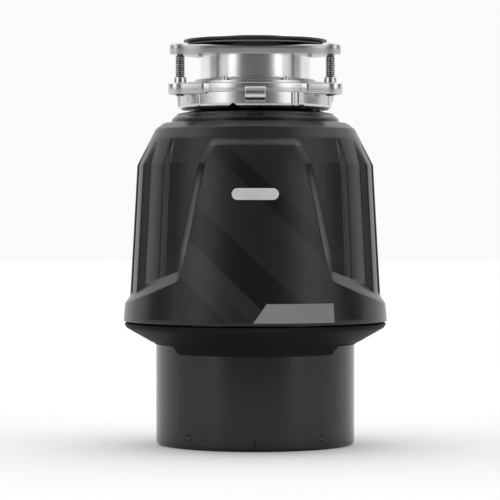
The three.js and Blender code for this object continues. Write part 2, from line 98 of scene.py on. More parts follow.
def placed(name, data):
    """A new object in the scene."""
    obj = bpy.data.objects.new(name, data)
    bpy.context.scene.collection.objects.link(obj)
    return obj


def make(name, verts, faces, sharp=32):
    mesh = bpy.data.meshes.new(name)
    mesh.from_pydata([(x * MM, y * MM, z * MM) for x, y, z in verts], [], faces)
    return finish_mesh(placed(name, mesh), sharp)


def rounded(points):
    """Rounds the corners of an outline: (a, b) stays sharp and (a, b, radius) is rounded."""
    out = []
    for i, p in enumerate(points):
        here = Vector(p[:2])
        if len(p) < 3 or p[2] <= 0:
            out.append((here.x, here.y))
            continue
        back = Vector(points[i - 1][:2]) - here
        ahead = Vector(points[(i + 1) % len(points)][:2]) - here
        angle = back.angle(ahead)
        reach = min(p[2] / math.tan(angle / 2), 0.49 * back.length, 0.49 * ahead.length)
        radius = reach * math.tan(angle / 2)
        start = here + back.normalized() * reach
        end = here + ahead.normalized() * reach
        centre = here + (back.normalized() + ahead.normalized()).normalized() * radius / math.sin(angle / 2)
        for k in range(ROUND_STEPS + 1):
            spoke = (start - centre).lerp(end - centre, k / ROUND_STEPS).normalized() * radius
            out.append((centre.x + spoke.x, centre.y + spoke.y))
    return out


def revolve(name, profile, steps=STEPS, shape=None, at=(0, 0), sharp=32):
    """Turns a closed outline of (r, z) about the Z axis. shape(r, z, degrees) may move each point."""
    points = rounded(profile)
    verts, faces = [], []
    for i in range(steps):
        degrees = 360 * i / steps
        for r, z in points:
            if shape:
                r, z = shape(r, z, degrees)
            x, y = polar(r, degrees)
            verts.append((x + at[0], y + at[1], z))
    m = len(points)
    for i in range(steps):
        j = (i + 1) % steps
        for k in range(m):
            n = (k + 1) % m
            faces.append((i * m + k, i * m + n, j * m + n, j * m + k))
    return make(name, verts, faces, sharp)


def evaluated(obj):
    """The object's mesh with its modifiers or curve settings applied."""
    depsgraph = bpy.context.evaluated_depsgraph_get()
    return bpy.data.meshes.new_from_object(obj.evaluated_get(depsgraph))


def plate(name, outlines, low, high, edge=0.8):
    """A flat plate with rounded edges. Its first outline is the rim, and the others are holes."""
    curve = bpy.data.curves.new(name, "CURVE")
    curve.dimensions = "2D"
    curve.fill_mode = "BOTH"
    for outline in outlines:
        spline = curve.splines.new("POLY")
        spline.points.add(len(outline) - 1)
        for point, (x, y) in zip(spline.points, outline):
            point.co = (x * MM, y * MM, 0, 1)
        spline.use_cyclic_u = True
    curve.bevel_depth = edge * MM
    curve.bevel_resolution = 2
    curve.offset = -edge * MM
    curve.extrude = ((high - low) / 2 - edge) * MM
    drawn = placed(name + "_outline", curve)
    mesh = evaluated(drawn)
    bpy.data.objects.remove(drawn)
    for v in mesh.vertices:
        v.co.z += (low + high) / 2 * MM
    return finish_mesh(placed(name, mesh))


def arc(x, y, r, start, end, steps=24):
    spokes = [polar(r, start + (end - start) * i / steps) for i in range(steps + 1)]
    return [(x + dx, y + dy) for dx, dy in spokes]


def circle(x, y, r, steps=SMALL_STEPS):
    return arc(x, y, r, 0, 360, steps)[:-1]


def rod(name, r, low, high, at=(0, 0), steps=SMALL_STEPS, edge=0.0):
    return revolve(name, [(0, low), (r, low, edge), (r, high, edge), (0, high)], steps, at=at)


def block(name, low, high, edge=0.0):
    """A box between two corners, with bevelled edges if edge is given."""
    (x0, y0, z0), (x1, y1, z1) = low, high
    verts = [(x, y, z) for x in (x0, x1) for y in (y0, y1) for z in (z0, z1)]
    faces = [(0, 1, 3, 2), (4, 6, 7, 5), (0, 4, 5, 1), (2, 3, 7, 6), (0, 2, 6, 4), (1, 5, 7, 3)]
    obj = make(name, verts, faces)
    if edge:
        bevelled(obj, edge)
    return obj


def bevelled(obj, width):
    """Rounds every sharp edge."""
    bevel = obj.modifiers.new("edges", "BEVEL")
    bevel.width = width * MM
    bevel.segments = 3
    bevel.limit_method = "ANGLE"
    bevel.angle_limit = math.radians(35)
    obj.data = evaluated(obj)
    obj.modifiers.clear()
    return finish_mesh(obj)


def turned_to(obj, place):
    """Moves each vertex to place(x, y, z)."""
    for v in obj.data.vertices:
        v.co = place(*v.co)
    return finish_mesh(obj)


def spun(obj, degrees):
    """Turns the mesh itself about the Z axis."""
    c, s = polar(1, degrees)
    return turned_to(obj, lambda x, y, z: (x * c - y * s, x * s + y * c, z))


def combine(obj, tools, operation):
    """Cuts or joins closed meshes; the tools are used up."""
    for tool in tools:
        boolean = obj.modifiers.new(operation, "BOOLEAN")
        boolean.operation = operation
        boolean.solver = "EXACT"
        boolean.object = tool
        bpy.context.view_layer.update()
        obj.data = evaluated(obj)
        obj.modifiers.clear()
        bpy.data.objects.remove(tool)
    return finish_mesh(obj)


def cut(obj, *tools):
    return combine(obj, tools, "DIFFERENCE")


def join(obj, *tools):
    return combine(obj, tools, "UNION")


def along_y(obj, x, y, z):
    """Stands a piece made along +Z so that it points along +Y from the given point."""
    return turned_to(obj, lambda a, b, c: (x * MM + a, y * MM + c, z * MM - b))


def piece(obj, body, slot, look, *replaced):
    """Puts a finished piece on its body, gives it its material and hides the CAD parts that it replaces."""
    obj.data.materials.clear()
    obj.data.materials.append(look)
    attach(obj, body)
    if replaced:
        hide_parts(*replaced)
    return obj


# ---- Materials ----
class Nodes:
    """A short way to write the nodes of a material or a world: each call adds one and returns its output."""

    def __init__(self, name, kind="materials", place="Object"):
        self.owner = getattr(bpy.data, kind).new(name)
        self.owner.use_nodes = True
        self.tree = self.owner.node_tree
        self.shader = self.tree.nodes.get("Principled BSDF")
        self.place = self.add("ShaderNodeTexCoord").outputs[place]

    def add(self, kind, **inputs):
        node = self.tree.nodes.new(kind)
        for key, value in inputs.items():
            self.feed(node.inputs[key.replace("_", " ")], value)
        return node

    def feed(self, socket, value):
        if hasattr(value, "links"):
            self.tree.links.new(value, socket)
        else:
            socket.default_value = value

    def stretched(self, x, y, z):
        """Object coordinates scaled by an amount for each axis."""
        node = self.add("ShaderNodeMapping", Vector=self.place)
        node.inputs["Scale"].default_value = (x, y, z)
        return node.outputs[0]

    def noise(self, scale, detail=2.0, roughness=0.5, place=None):
        node = self.add("ShaderNodeTexNoise", Scale=scale, Detail=detail, Roughness=roughness)
        self.feed(node.inputs["Vector"], place or self.place)
        return node.outputs["Fac"]

    def math(self, operation, a, b=0.0, clamp=False):
        node = self.add("ShaderNodeMath")
        node.operation = operation
        node.use_clamp = clamp
        for socket, value in zip(node.inputs, (a, b)):
            self.feed(socket, value)
        return node.outputs[0]

    def ramp(self, value, low, high, to_low=0.0, to_high=1.0, curve="LINEAR"):
        """Maps a range of values to another, held at its ends."""
        node = self.add("ShaderNodeMapRange")
        node.clamp = True
        node.interpolation_type = curve
        for socket, number in zip(node.inputs, (value, low, high, to_low, to_high)):
            self.feed(socket, number)
        return node.outputs[0]

    def blend(self, share, a, b):
        """Mixes two colours."""
        node = self.add("ShaderNodeMix")
        node.data_type = "RGBA"
        self.feed(node.inputs[0], share)
        self.feed(node.inputs[6], a)
        self.feed(node.inputs[7], b)
        return node.outputs[2]

    def mottled(self, value, low, high, shade, dark, light, tint=(1.0, 1.0, 1.0)):
        """A grey that runs from a dark to a light share of its shade as a value runs from low to high."""
        return self.blend(self.ramp(value, low, high), grey(shade * dark, tint), grey(shade * light, tint))

    def bump(self, height, distance):
        """Adds relief to the surface; a second call adds to the first."""
        node = self.add("ShaderNodeBump", Height=height, Strength=1.0, Distance=distance)
        before = self.shader.inputs["Normal"]
        if before.is_linked:
            self.tree.links.new(before.links[0].from_socket, node.inputs["Normal"])
        self.tree.links.new(node.outputs[0], before)

    def set(self, **values):
        for key, value in values.items():
            self.feed(self.shader.inputs[key.replace("_", " ")], value)


def grey(v, tint=(1.0, 1.0, 1.0)):
    return (v * tint[0], v * tint[1], v * tint[2], 1.0)


def moulded_plastic(name, shade, roughness, grain=0.00003, tint=(1.0, 0.99, 0.98), gloss=0.36):
    """Spark-eroded plastic: a fine even grain, faint flow clouds and slightly worn patches."""
    n = Nodes(name)
    clouds = n.noise(14, 4, 0.55)
    specks = n.noise(2600, 2, 0.6)
    worn = n.math("ADD", clouds, n.math("MULTIPLY", specks, 0.5))
    n.set(
        Base_Color=n.mottled(clouds, 0.35, 0.65, shade, 0.86, 1.14, tint),
        Roughness=n.ramp(worn, 0.5, 1.0, roughness - 0.05, roughness + 0.05),
        Specular_IOR_Level=gloss,
    )
    n.bump(specks, grain)
    return n.owner


def painted_steel(name, shade, roughness):
    """Baked satin paint with a slight orange peel over drawn sheet."""
    n = Nodes(name)
    peel = n.noise(420, 2, 0.5)
    drawn = n.noise(60, 3, 0.5, n.stretched(1, 1, 0.04))
    n.set(
        Base_Color=n.mottled(drawn, 0.3, 0.7, shade, 0.85, 1.15),
        Roughness=n.ramp(n.noise(900, 3, 0.6), 0.3, 0.7, roughness - 0.04, roughness + 0.04),
        Specular_IOR_Level=0.42,
    )
    n.bump(peel, 0.00002)
    n.bump(drawn, 0.00006)
    return n.owner


def rubber(name, shade, roughness=0.62):
    """Matt rubber with a bloom that lightens it in patches."""
    n = Nodes(name)
    bloom = n.noise(60, 5, 0.6)
    pores = n.noise(1800, 2, 0.7)
    n.set(
        Base_Color=n.blend(n.ramp(bloom, 0.4, 0.75), grey(shade), grey(shade * 1.7, (1, 1, 1.02))),
        Roughness=n.ramp(bloom, 0.3, 0.7, roughness - 0.08, roughness + 0.1),
    )
    n.bump(pores, 0.00008)
    return n.owner


def plated_steel(name, shade, roughness, tint=(0.98, 0.99, 1.0), grain=0.000012, pits=0.00002):
    """Stamped or cast metal with bright plating: cloudy brightness, fine grain and a few handling marks."""
    n = Nodes(name)
    clouds = n.noise(55, 4, 0.6)
    fine = n.noise(1500, 3, 0.65)
    marks = n.ramp(n.noise(260, 2, 0.5), 0.62, 0.75)
    even = n.ramp(clouds, 0.3, 0.7, roughness - 0.03, roughness + 0.04)
    n.set(
        Base_Color=n.mottled(clouds, 0.3, 0.7, shade, 0.95, 1.04, tint),
        Metallic=1.0,
        Roughness=n.math("ADD", even, n.math("MULTIPLY", marks, 0.06)),
    )
    n.bump(fine, grain)
    n.bump(clouds, pits)
    return n.owner


def turned_metal(name, shade, roughness, tint=(1.0, 1.0, 1.0), lines=0.00004):
    """Metal with fine lathe or polishing lines round its axis."""
    n = Nodes(name)
    rings = n.noise(900, 2, 0.6, n.stretched(0.03, 0.03, 1.0))
    clouds = n.noise(40, 3, 0.5)
    n.set(
        Base_Color=n.mottled(clouds, 0.3, 0.7, shade, 0.93, 1.05, tint),
        Metallic=1.0,
        Roughness=n.ramp(rings, 0.3, 0.7, roughness - 0.02, roughness + 0.03),
    )
    n.bump(rings, lines)
    return n.owner


def laminated(name):
    """Edges of stacked electrical steel sheets."""
    n = Nodes(name)
    sheets = n.add("ShaderNodeTexWave", Scale=320, Distortion=0.6, Detail=2)
    sheets.bands_direction = "Z"
    n.feed(sheets.inputs["Vector"], n.place)
    stack = sheets.outputs["Fac"]
    n.set(
        Base_Color=n.blend(stack, grey(0.12, (1, 0.97, 0.94)), grey(0.36)),
        Metallic=1.0,
        Roughness=n.ramp(n.noise(500), 0.3, 0.7, 0.38, 0.55),
    )
    n.bump(stack, 0.0002)
    return n.owner


def wound_copper(name):
    """Varnished magnet wire wound round the core."""
    n = Nodes(name)
    wire = n.add("ShaderNodeTexWave", Scale=260, Distortion=3.0, Detail=2)
    wire.wave_type = "RINGS"
    wire.rings_direction = "Z"
    n.feed(wire.inputs["Vector"], n.place)
    turns = wire.outputs["Fac"]
    # The dark copper lies in the grooves between turns: painted shade between the wires.
    n.set(
        Base_Color=n.blend(turns, (0.16, 0.04, 0.015, 1), (0.62, 0.24, 0.1, 1)),
        Metallic=0.8,
        Roughness=n.ramp(n.noise(300), 0.3, 0.7, 0.28, 0.42),
        Coat_Weight=0.4,
        Coat_Roughness=0.15,
    )
    n.bump(turns, 0.0004)
    return n.owner


def fibre_board(name):
    """Pressed gasket fibre: short dark and light threads."""
    n = Nodes(name)
    threads = n.noise(700, 5, 0.75, n.stretched(1, 1, 3))
    n.set(
        Base_Color=n.blend(n.ramp(threads, 0.35, 0.65), (0.16, 0.15, 0.14, 1), (0.34, 0.32, 0.29, 1)),
        Roughness=n.ramp(threads, 0.3, 0.7, 0.75, 0.9),
    )
    n.bump(threads, 0.0003)
    return n.owner


def open_foam(name):
    n = Nodes(name)
    cells = n.add("ShaderNodeTexVoronoi", Scale=420)
    n.feed(cells.inputs["Vector"], n.place)
    # The cells darken towards their sunken middles: painted shade in the pores.
    holes = n.ramp(cells.outputs["Distance"], 0.1, 0.6)
    n.set(Base_Color=n.blend(holes, grey(0.012), grey(0.09)), Roughness=n.ramp(holes, 0, 1, 0.95, 0.85))
    n.bump(holes, 0.0008)
    return n.owner


def band_film(name):
    """The front panel's printed film: broad slanting bands of near-black tones and one hairline."""
    n = Nodes(name)
    axes = n.add("ShaderNodeSeparateXYZ", Vector=n.place)
    x, z = axes.outputs["X"], axes.outputs["Z"]
    slant = n.math("ADD", z, n.math("MULTIPLY", x, 0.94))
    wave = n.math("PINGPONG", n.math("ADD", slant, 0.004), 0.034)
    broad = n.ramp(wave, 0.0164, 0.0166)
    fade = n.ramp(n.math("MULTIPLY", x, -1.0), -0.05, 0.06)
    narrow = n.ramp(n.math("PINGPONG", n.math("ADD", slant, 0.021), 0.0425), 0.0345, 0.0347)
    hairline = n.math("LESS_THAN", n.math("ABSOLUTE", n.math("SUBTRACT", slant, 0.1195)), 0.00028)
    wide_tone = n.math("MULTIPLY", broad, n.ramp(fade, 0, 1, 0.35, 0.85))
    tone = n.math("ADD", wide_tone, n.math("MULTIPLY", narrow, 0.55))
    tone = n.math("ADD", tone, n.math("MULTIPLY", hairline, -0.5), clamp=True)
    grain = n.noise(1500, 2, 0.6)
    n.set(
        Base_Color=n.blend(tone, grey(0.004, (1, 0.98, 0.98)), grey(0.021, (1.0, 0.985, 0.985))),
        Roughness=n.ramp(grain, 0.3, 0.7, 0.3, 0.4),
        Specular_IOR_Level=0.36,
    )
    n.bump(grain, 0.00003)
    return n.owner


casing_black = moulded_plastic("casing_black", 0.0105, 0.26)
cover_black = moulded_plastic("cover_black", 0.013, 0.5, gloss=0.03)
can_black = painted_steel("can_black", 0.006, 0.2)
film_black = band_film("film_black")
tag_grey = moulded_plastic("tag_grey", 0.21, 0.45, 0.00003, (0.96, 1.0, 1.03))
badge_pale = moulded_plastic("badge_pale", 0.68, 0.4, 0.00002, (1.0, 1.0, 1.01))
rubber_black = rubber("rubber_black", 0.007)
rim_rubber = rubber("rim_rubber", 0.010, 0.45)
flange_zinc = plated_steel("flange_zinc", 0.56, 0.36)
ring_zinc = plated_steel("ring_zinc", 0.64, 0.28)
screw_zinc = turned_metal("screw_zinc", 0.5, 0.3, lines=0.000003)
# A dark copy of the screw metal: painted shade for the grooves of the threads.
painted_thread_shade = turned_metal("painted_thread_shade", 0.1, 0.45, lines=0.000003)
sleeve_steel = turned_metal("sleeve_steel", 0.8, 0.22, lines=0.000001)
plain_steel = turned_metal("plain_steel", 0.42, 0.36)
cast_metal = plated_steel("cast_metal", 0.5, 0.45, grain=0.0002, pits=0.0003)
bronze = turned_metal("bronze", 0.55, 0.35, (1.0, 0.72, 0.42))
hopper_grey = moulded_plastic("hopper_grey", 0.075, 0.5, 0.0001, (1.0, 1.01, 1.03))
dark_plastic = moulded_plastic("dark_plastic", 0.03, 0.5)
red_plastic = moulded_plastic("red_plastic", 0.4, 0.3, 0.00002, (1.0, 0.04, 0.04))
fibre_brown = fibre_board("fibre_brown")
foam_grey = open_foam("foam_grey")
core_steel = laminated("core_steel")
winding_copper = wound_copper("winding_copper")


# ---- Sink mount ----
def sink_flange():
    low, high, rim = span("sink_flange")
    sleeve, bore = 43.6, 42.2
    return revolve("sink_flange_fine", [
        (bore, low, 0.4), (sleeve, low, 0.4), (sleeve, 319, 3), (46.5, 320.9, 1.5), (rim - 0.4, 321.9, 0.4),
        (rim, 322.6, 0.5), (rim - 0.4, high, 0.5), (48, 322.7, 3), (bore + 0.8, 320.6, 3), (bore, 316, 3),
    ])


def sink_gasket():
    low, high, rim = span("sink_gasket")
    return revolve("sink_gasket_fine", [
        (43.95, low, 0.2), (47.8, 318.45, 0.5), (53.5, 319.9, 1.2), (rim, 320.7, 0.7), (rim, high, 0.6),
        (54.9, high, 0.3), (54.9, 321.4, 0.2), (46.2, 320.4, 1), (43.95, 318.9, 0.2),
    ])


def fibre_gasket():
    low, high, rim = span("fibre_gasket")
    lip = rim + 4.4  # a thin raised lip goes out past the CAD ring
    return revolve("fibre_gasket_fine", [
        (43.9, low, 0.2), (47.6, low, 0.3), (lip - 2, low + 1.5, 0.5), (lip, low + 1.6, 0.3),
        (lip, high + 1.4, 0.3), (lip - 2, high + 1.3, 0.5), (47.6, high, 0.3), (43.9, high, 0.2),
    ])


def eared(ear, edge):
    """Three ears round the screws. edge runs from the middle of a side to one ear: (along, out, rounding)."""
    side = [(-along, out, r) for along, out, r in reversed(edge)] + edge
    outline = []
    for angle in (210, 330, 450):  # the screws, in turn
        outline += arc(*polar(SCREW_CIRCLE_R, angle), ear, angle - 60, angle + 60, 30)
        for along, out, r in side:
            (x, y), (dx, dy) = polar(out, angle + 60), polar(along, angle + 150)
            outline.append((x + dx, y + dy, r))
    return rounded(outline)


def backup_flange():
    low, _, _ = span("backup_flange")
    high = 316.3

    def outlines(ear, bore):
        """Between two ears the rim runs straight, and swells in towards each ear."""
        shares = [t / 16 for t in range(16, 0, -1)]
        swells = [(36 + 23 * (1 - t), 34.1 + ear + 5.6 * smooth(t ** 0.8), 0) for t in shares]
        return [eared(ear, swells), circle(0, 0, bore, STEPS)]

    dimple = [(0, low - 1), (3.4, low - 1), (2.9, low + 0.7), (0, low + 1.2)]
    marks = [revolve("dimple", dimple, 32, at=s) for s in SCREWS.values()]
    body = plate("backup_flange_fine", outlines(8.2, 43.95), low + 1.5, high, 1.9)
    base = cut(plate("base", outlines(8.14, 44.0), low, high - 2.5, 0.5), *marks)
    caps = [rod("cap", 8.05, high - 4.4, high + 1.7, s, 48, 2.9) for s in SCREWS.values()]
    tabs = []
    for at in (polar(55.5, 219), polar(55.5, 321)):
        tab = rod("tab", 1.9, low - 2.2, low + 1, at, 24, 0.6)
        tabs.append(cut(tab, rod("socket", 0.8, low - 3, low - 1, at, 20)))
    return join(body, base, *caps, *tabs)


def mounting_ring():
    low, high, _ = span("mounting_ring")
    deck, under = 286.5, 279.3
    holes = [circle(x, y, 4.0, 32) for x, y in SCREWS.values()]

    def outline(inset):
        r = 59 - inset
        ring = [(r * math.sin(math.radians(d)), r * math.cos(math.radians(d)), 0) for d in range(1, 38)]
        arm = [(35.9, 46.8 - inset, 0.6), (40.6, 49.9 - inset, 2.6), (57.2, 44.2 - inset, 2.5)]
        return eared(9.5 - inset, ring + arm)

    body = plate("mounting_ring_fine", [outline(0), circle(0, 0, 46, STEPS)] + holes, under, deck, 1.2)
    feet = plate("feet", [outline(0.06)] + holes, low, under + 3.5, 1.1)
    clear = [rod("clear", r, 270, top, steps=STEPS) for r, top in ((61.6, under - 0.04), (57.5, 290))]
    feet = cut(feet, *clear)
    tier = revolve("tier", [
        (49.6, deck - 0.6), (54.6, deck - 0.6), (54.6, deck + 1.9, 0.5), (49.6, deck + 1.9, 0.4),
    ])
    boss = [(4.0, deck - 0.5), (4.9, deck - 0.5), (4.9, high, 0.7), (4.0, high, 0.2)]
    bosses = [revolve("boss", boss, 32, at=s) for s in SCREWS.values()]
    posts = [rod("post", 2.3, deck, high + 0.3, polar(52.2, a), 32, 0.8) for a in (242.5, 297.5)]
    recess = revolve("recess", [(50.2, under - 1), (56, under - 1), (56, 283.4, 1), (50.2, 283.4, 1)])
    return cut(join(body, feet, tier, *bosses, *posts), recess)


def snap_ring():
    """A split spring ring in the sleeve's groove, with rounded ends."""
    low, high, rim = span("snap_ring")
    gap = 6  # half the split's angle
    inner = 44.2
    end = (rim - inner) / 2
    outline = arc(0, 0, rim, 90 + gap, 450 - gap, STEPS) + arc(0, 0, inner, 450 - gap, 90 + gap, STEPS)
    return plate("snap_ring_fine", [outline], low, high, 0.42 * end)


def threaded_screw(side):
    """A headless screw: rolled thread, chamfered point and a slot across its foot."""
    low, high, _ = span(f"mounting_screw_{side}")
    root, crest = 2.95, 3.85

    def thread(r, z, degrees):
        if r < root:
            return r, z
        phase = (z / THREAD_PITCH - degrees / 360) % 1
        ridge = 1 - abs(2 * phase - 1)
        runout = min(1, (z - low) / 1.5, (high - 1.2 - z) / 1.2)
        return root + (crest - root) * smooth(ridge * 1.9 - 0.35) * max(0.0, runout), z

    rows = int((high - low) / THREAD_PITCH * 7)
    side_points = [(root + 0.01, low + 0.4 + (high - low - 1.4) * i / rows) for i in range(rows + 1)]
    profile = [(0, low), (2.7, low)] + side_points + [(2.2, high), (0, high)]
    at = SCREWS[side]
    screw = revolve(f"mounting_screw_{side}_fine", profile, 36, thread, at, sharp=60)
    slot = block("slot", (at[0] - 5, at[1] - 0.6, low - 1), (at[0] + 5, at[1] + 0.6, low + 1.6))
    return cut(screw, slot)


def shade_fibre_underside(gasket):
    """The fibre gasket's downward faces take the dark rubber material: painted shade under the gasket."""
    gasket.data.materials.append(rim_rubber)
    for face in gasket.data.polygons:
        if face.normal.z < -0.2:
            face.material_index = 1


def paint_thread_shade(screw, axis, radius):
    """The faces of a thread's groove get a darker copy of the screw metal: painted shade in the root."""
    screw.data.materials.append(painted_thread_shade)
    for face in screw.data.polygons:
        x, y = face.center.x / MM - axis[0], face.center.y / MM - axis[1]
        if 2.6 < math.hypot(x, y) < radius:
            face.material_index = 1


def ellipse(rx, ry, steps=40):
    turns = [2 * math.pi * i / steps for i in range(steps)]
    return [(rx * math.cos(t), ry * math.sin(t)) for t in turns]


def lock_ring():
    low, _, _ = span("lock_ring")
    rim, top = 61.0, 278.9
    pads = (  # from and to, in degrees, and how far proud
        (297.5, 300.5, 0.55), (302.5, 309, 1.0), (60, 66, 1.0), (177.5, 180.5, 0.55), (182.5, 189, 1.0),
        (221, 226, 0.7), (101, 106, 0.7), (341, 346, 0.7),
    )

    def pressed(r, z, degrees):
        """Pressed pads stand a little proud of the outer wall."""
        for start, end, lift in pads:
            edge = min(degrees - start, end - degrees)
            if r > 59 and edge > 0:
                r += lift * smooth(edge / 0.9) * smooth((z - low - 1) / 2)
        return r, z

    wall = [(rim, low + 3.2 + 0.9 * i) for i in range(10)]
    body = revolve("lock_ring_fine", [
        (50.8, 272.8, 0.5), (51.8, low + 0.4, 0.8), (54, low, 0.8), (58.2, low, 2.2), (60.6, low + 1.6, 1.6),
    ] + wall + [(rim, top, 0.5), (59.6, top, 0.2), (50.8, top, 0.2)], 720, pressed)
    lugs, bores = [], []
    for angle in LUG_ANGLES:
        roll = plate("roll", [ellipse(4.5, 5.6)], -8, 8, 0.6)
        eye = plate("eye", [ellipse(2.8, 3.5)], -9, 9, 0.2)
        tab = block("tab", (51.2, -6, 278.5), (54.8, 6, 282), 0.5)
        foot = block("foot", (59.5, -8, 270.6), (61.8, 8, 273.4), 0.5)
        slit = block("slit", (59.9, -15, 278.0), (66, -8.4, 278.5))
        nick = block("nick", (59.6, -9.6, 276.6), (66, -8.2, 279.6))
        for part, group in ((roll, lugs), (eye, bores)):
            turned_to(part, lambda x, y, z: (64.3 * MM + x, z, 277.5 * MM + y))
            group.append(spun(part, angle))
        lugs += [spun(foot, angle), spun(tab, angle)]
        bores += [spun(slit, angle), spun(nick, angle)]
    body = join(body, *lugs)
    notches = []
    for angle in (253.5, 13.5, 133.5):
        ridge = ((-7.6, low - 1.2), (0, low + 3.9), (7.6, low - 1.2))
        corners = [(x, y, z) for y, z in ridge for x in (50, 64)]
        wedge = make("wedge", corners, [(0, 1, 3, 2), (2, 3, 5, 4), (4, 5, 1, 0), (0, 2, 4), (1, 5, 3)])
        notches.append(spun(wedge, angle))
    bars = ((0.25, 271.4, 277.2), (0.6, 273.6, 275))
    mark = [block("mark", (60.2, -half, foot), (62, half, head)) for half, foot, head in bars]
    return cut(body, *bores, *notches, *[spun(part, 209.6) for part in mark])


def mounting_gasket():
    """The rubber neck: a ribbed skirt under the lock ring and a sleeve up inside the mounting ring."""
    low, high, rim = span("mounting_gasket")
    bore, neck = 41.0, 44.4
    ribs = []
    for z in (266.0, 267.0, 268.0, 269.2):
        ribs += [(neck + (z - low) * 0.9, z, 0.2), (neck + 0.9 + (z - low) * 1.2, z + 0.45, 0.25)]
    return revolve("mounting_gasket_fine", [(bore, low, 0.3), (neck - 0.4, low, 0.3)] + ribs + [
        (rim, 271.4, 0.8), (rim, 277.4, 0.6), (45.3, 278.8, 0.6), (45.3, high, 0.4), (bore, high, 0.4),
    ])


def splash_baffle():
    """A thin rubber disc slit into flaps that droop towards a centre hole."""
    low, high, rim = span("splash_baffle")
    flaps = 6
    body = revolve("splash_baffle_fine", [
        (9, low, 0.3), (16, 268.3, 2), (27, 269.2, 3), (36, 270.2, 2), (rim, 270.2, 1), (rim, 272),
        (rim, high, 0.5), (rim - 2, high, 0.4), (rim - 2, 272.6, 1), (36, 272.2, 2), (27, 271.2, 3),
        (16, 270.2, 2), (9, 268.8, 0.3),
    ])
    slits = []
    for i in range(flaps):
        degrees = 360 * i / flaps + 2.9
        slit = block("slit", (6.5, -0.5, 262), (33, 0.5, 276))
        end = rod("slit_end", 1.1, 262, 276, (33, 0), 20)
        slits += [spun(slit, degrees), spun(end, degrees)]
    return cut(body, *slits)


piece(sink_flange(), "disposer", "stainless", sleeve_steel, "sink_flange")
piece(sink_gasket(), "disposer", "rubber", rim_rubber, "sink_gasket")
# The gasket's underside is made dark: painted shade under the overhang.
shade_fibre_underside(piece(fibre_gasket(), "clamp_flange", "fibre", fibre_brown, "fibre_gasket"))
piece(backup_flange(), "clamp_flange", "zinc_steel", flange_zinc, "backup_flange")
piece(mounting_ring(), "disposer", "zinc_steel", ring_zinc, "mounting_ring")
piece(snap_ring(), "disposer", "steel", plain_steel, "snap_ring")
for side, at in SCREWS.items():
    node = f"mounting_screw_{side}"
    screw = piece(threaded_screw(side), f"screw_{side}", "zinc_steel", screw_zinc, node)
    # Darkens each thread's groove: painted shade in the root.
    paint_thread_shade(screw, at, 3.3)
piece(lock_ring(), "lock_ring", "zinc_steel", ring_zinc, "lock_ring")
piece(mounting_gasket(), "disposer", "rubber", rubber_black, "mounting_gasket")
piece(splash_baffle(), "disposer", "rubber", rubber_black, "splash_baffle")


# ---- Casing ----
# Angles run from the middle of the front panel, and the outline is mirrored to all four quarters.
INLET_X, INLET_Z = -34, 232  # the axis of the dishwasher inlet, which runs along Y
SEAM_Z = 98.3
SKIRT_R = 105.2
BREAK_Z = 222.5
BREAK_R = 94.2
SHOULDER_Z = 250.8
SHOULDER_R = 79.8
SIDE_FOOT_R = 101  # of the side's ribs, if they ran down to the seam
PANEL_LEAN, PANEL_CURVE, PANEL_CURVE_Z = 0.085, 0.00195, 190
PANEL_TOP = (236.4, 241.4)  # the bevel along the panel's top
RECESS_TOP_Z = 243
FACET_DEPTH = 4.0
EDGE_DEG = 36.5
LEDGE_LOW = (131.0, 112.4)  # at the panel's edge and at the side
LEDGE_HIGH = (141.0, 124.4)
# The panel's edge and the foot of its side: z, and degrees from the middle.
PANEL_EDGE = ((131, 36.0), (141, 34.2), (156, 31.6), (222.5, 24.3), (236, 20.3), (241, 19.8))
PANEL_FOOT = ((131, 36.6), (141, 38.8), (156, 37.6), (222.5, 28.7), (241, 24.2))
SIDE_DEPTHS = (  # degrees, and how far back the side stands there, as a share of the facets' depth
    (0, 1.0), (48, 1.0), (49.8, 1.45), (51.6, 1.0), (65.2, 1.0), (69.2, 0.0), (77, 0.0), (78.9, 1.0),
    (83.5, 1.0), (86.4, 0.0), (90, 0.0),
)
SIDE_STATIONS = (  # degrees of the side's columns: close at its edges, wide on its faces
    47, 47.5, 48, 48.5, 49, 49.4, 49.8, 50.2, 50.6, 51.1, 51.6, 52.2, 53, 55, 58, 61, 63.5, 64.6, 65.1,
    65.6, 66.2, 67, 67.8, 68.5, 69, 69.5, 70, 70.8, 72.5, 74.5, 76, 76.6, 77, 77.4, 77.9, 78.4, 78.9, 79.3,
    79.9, 81, 82.4, 83.2, 83.7, 84.3, 85, 85.8, 86.3, 86.8, 87.5, 88.7, 90,
)


def through(points, t):
    """Straight lines through (t, value) points, held at both ends."""
    for (a, low), (b, high) in zip(points, points[1:]):
        if t <= b:
            return mix(low, high, (t - a) / (b - a))
    return points[-1][1]


def panel_radius(z):
    """The panel leans back evenly, and curves in towards its top."""
    return SKIRT_R - PANEL_LEAN * (z - SEAM_Z) - PANEL_CURVE * max(0.0, z - PANEL_CURVE_Z) ** 2


def panel_half(z):
    """Degrees from the front to the foot of the panel's sloping side."""
    return through(PANEL_FOOT, z)


def bevel_deg(z):
    """Degrees from the panel's edge to the foot of its side."""
    return panel_half(z) - through(PANEL_EDGE, z)


def side_radius(z):
    return mix(SIDE_FOOT_R, BREAK_R, (z - SEAM_Z) / (BREAK_Z - SEAM_Z))


def shoulder_radius(z):
    return mix(BREAK_R, SHOULDER_R, (z - BREAK_Z) / (SHOULDER_Z - BREAK_Z))


def ledge(heights, degrees):
    """The ledge's lines are straight as seen from the front."""
    start, here = math.sin(math.radians(EDGE_DEG)), math.sin(math.radians(degrees))
    return mix(heights[0], heights[1], (here - start) / (1 - start))


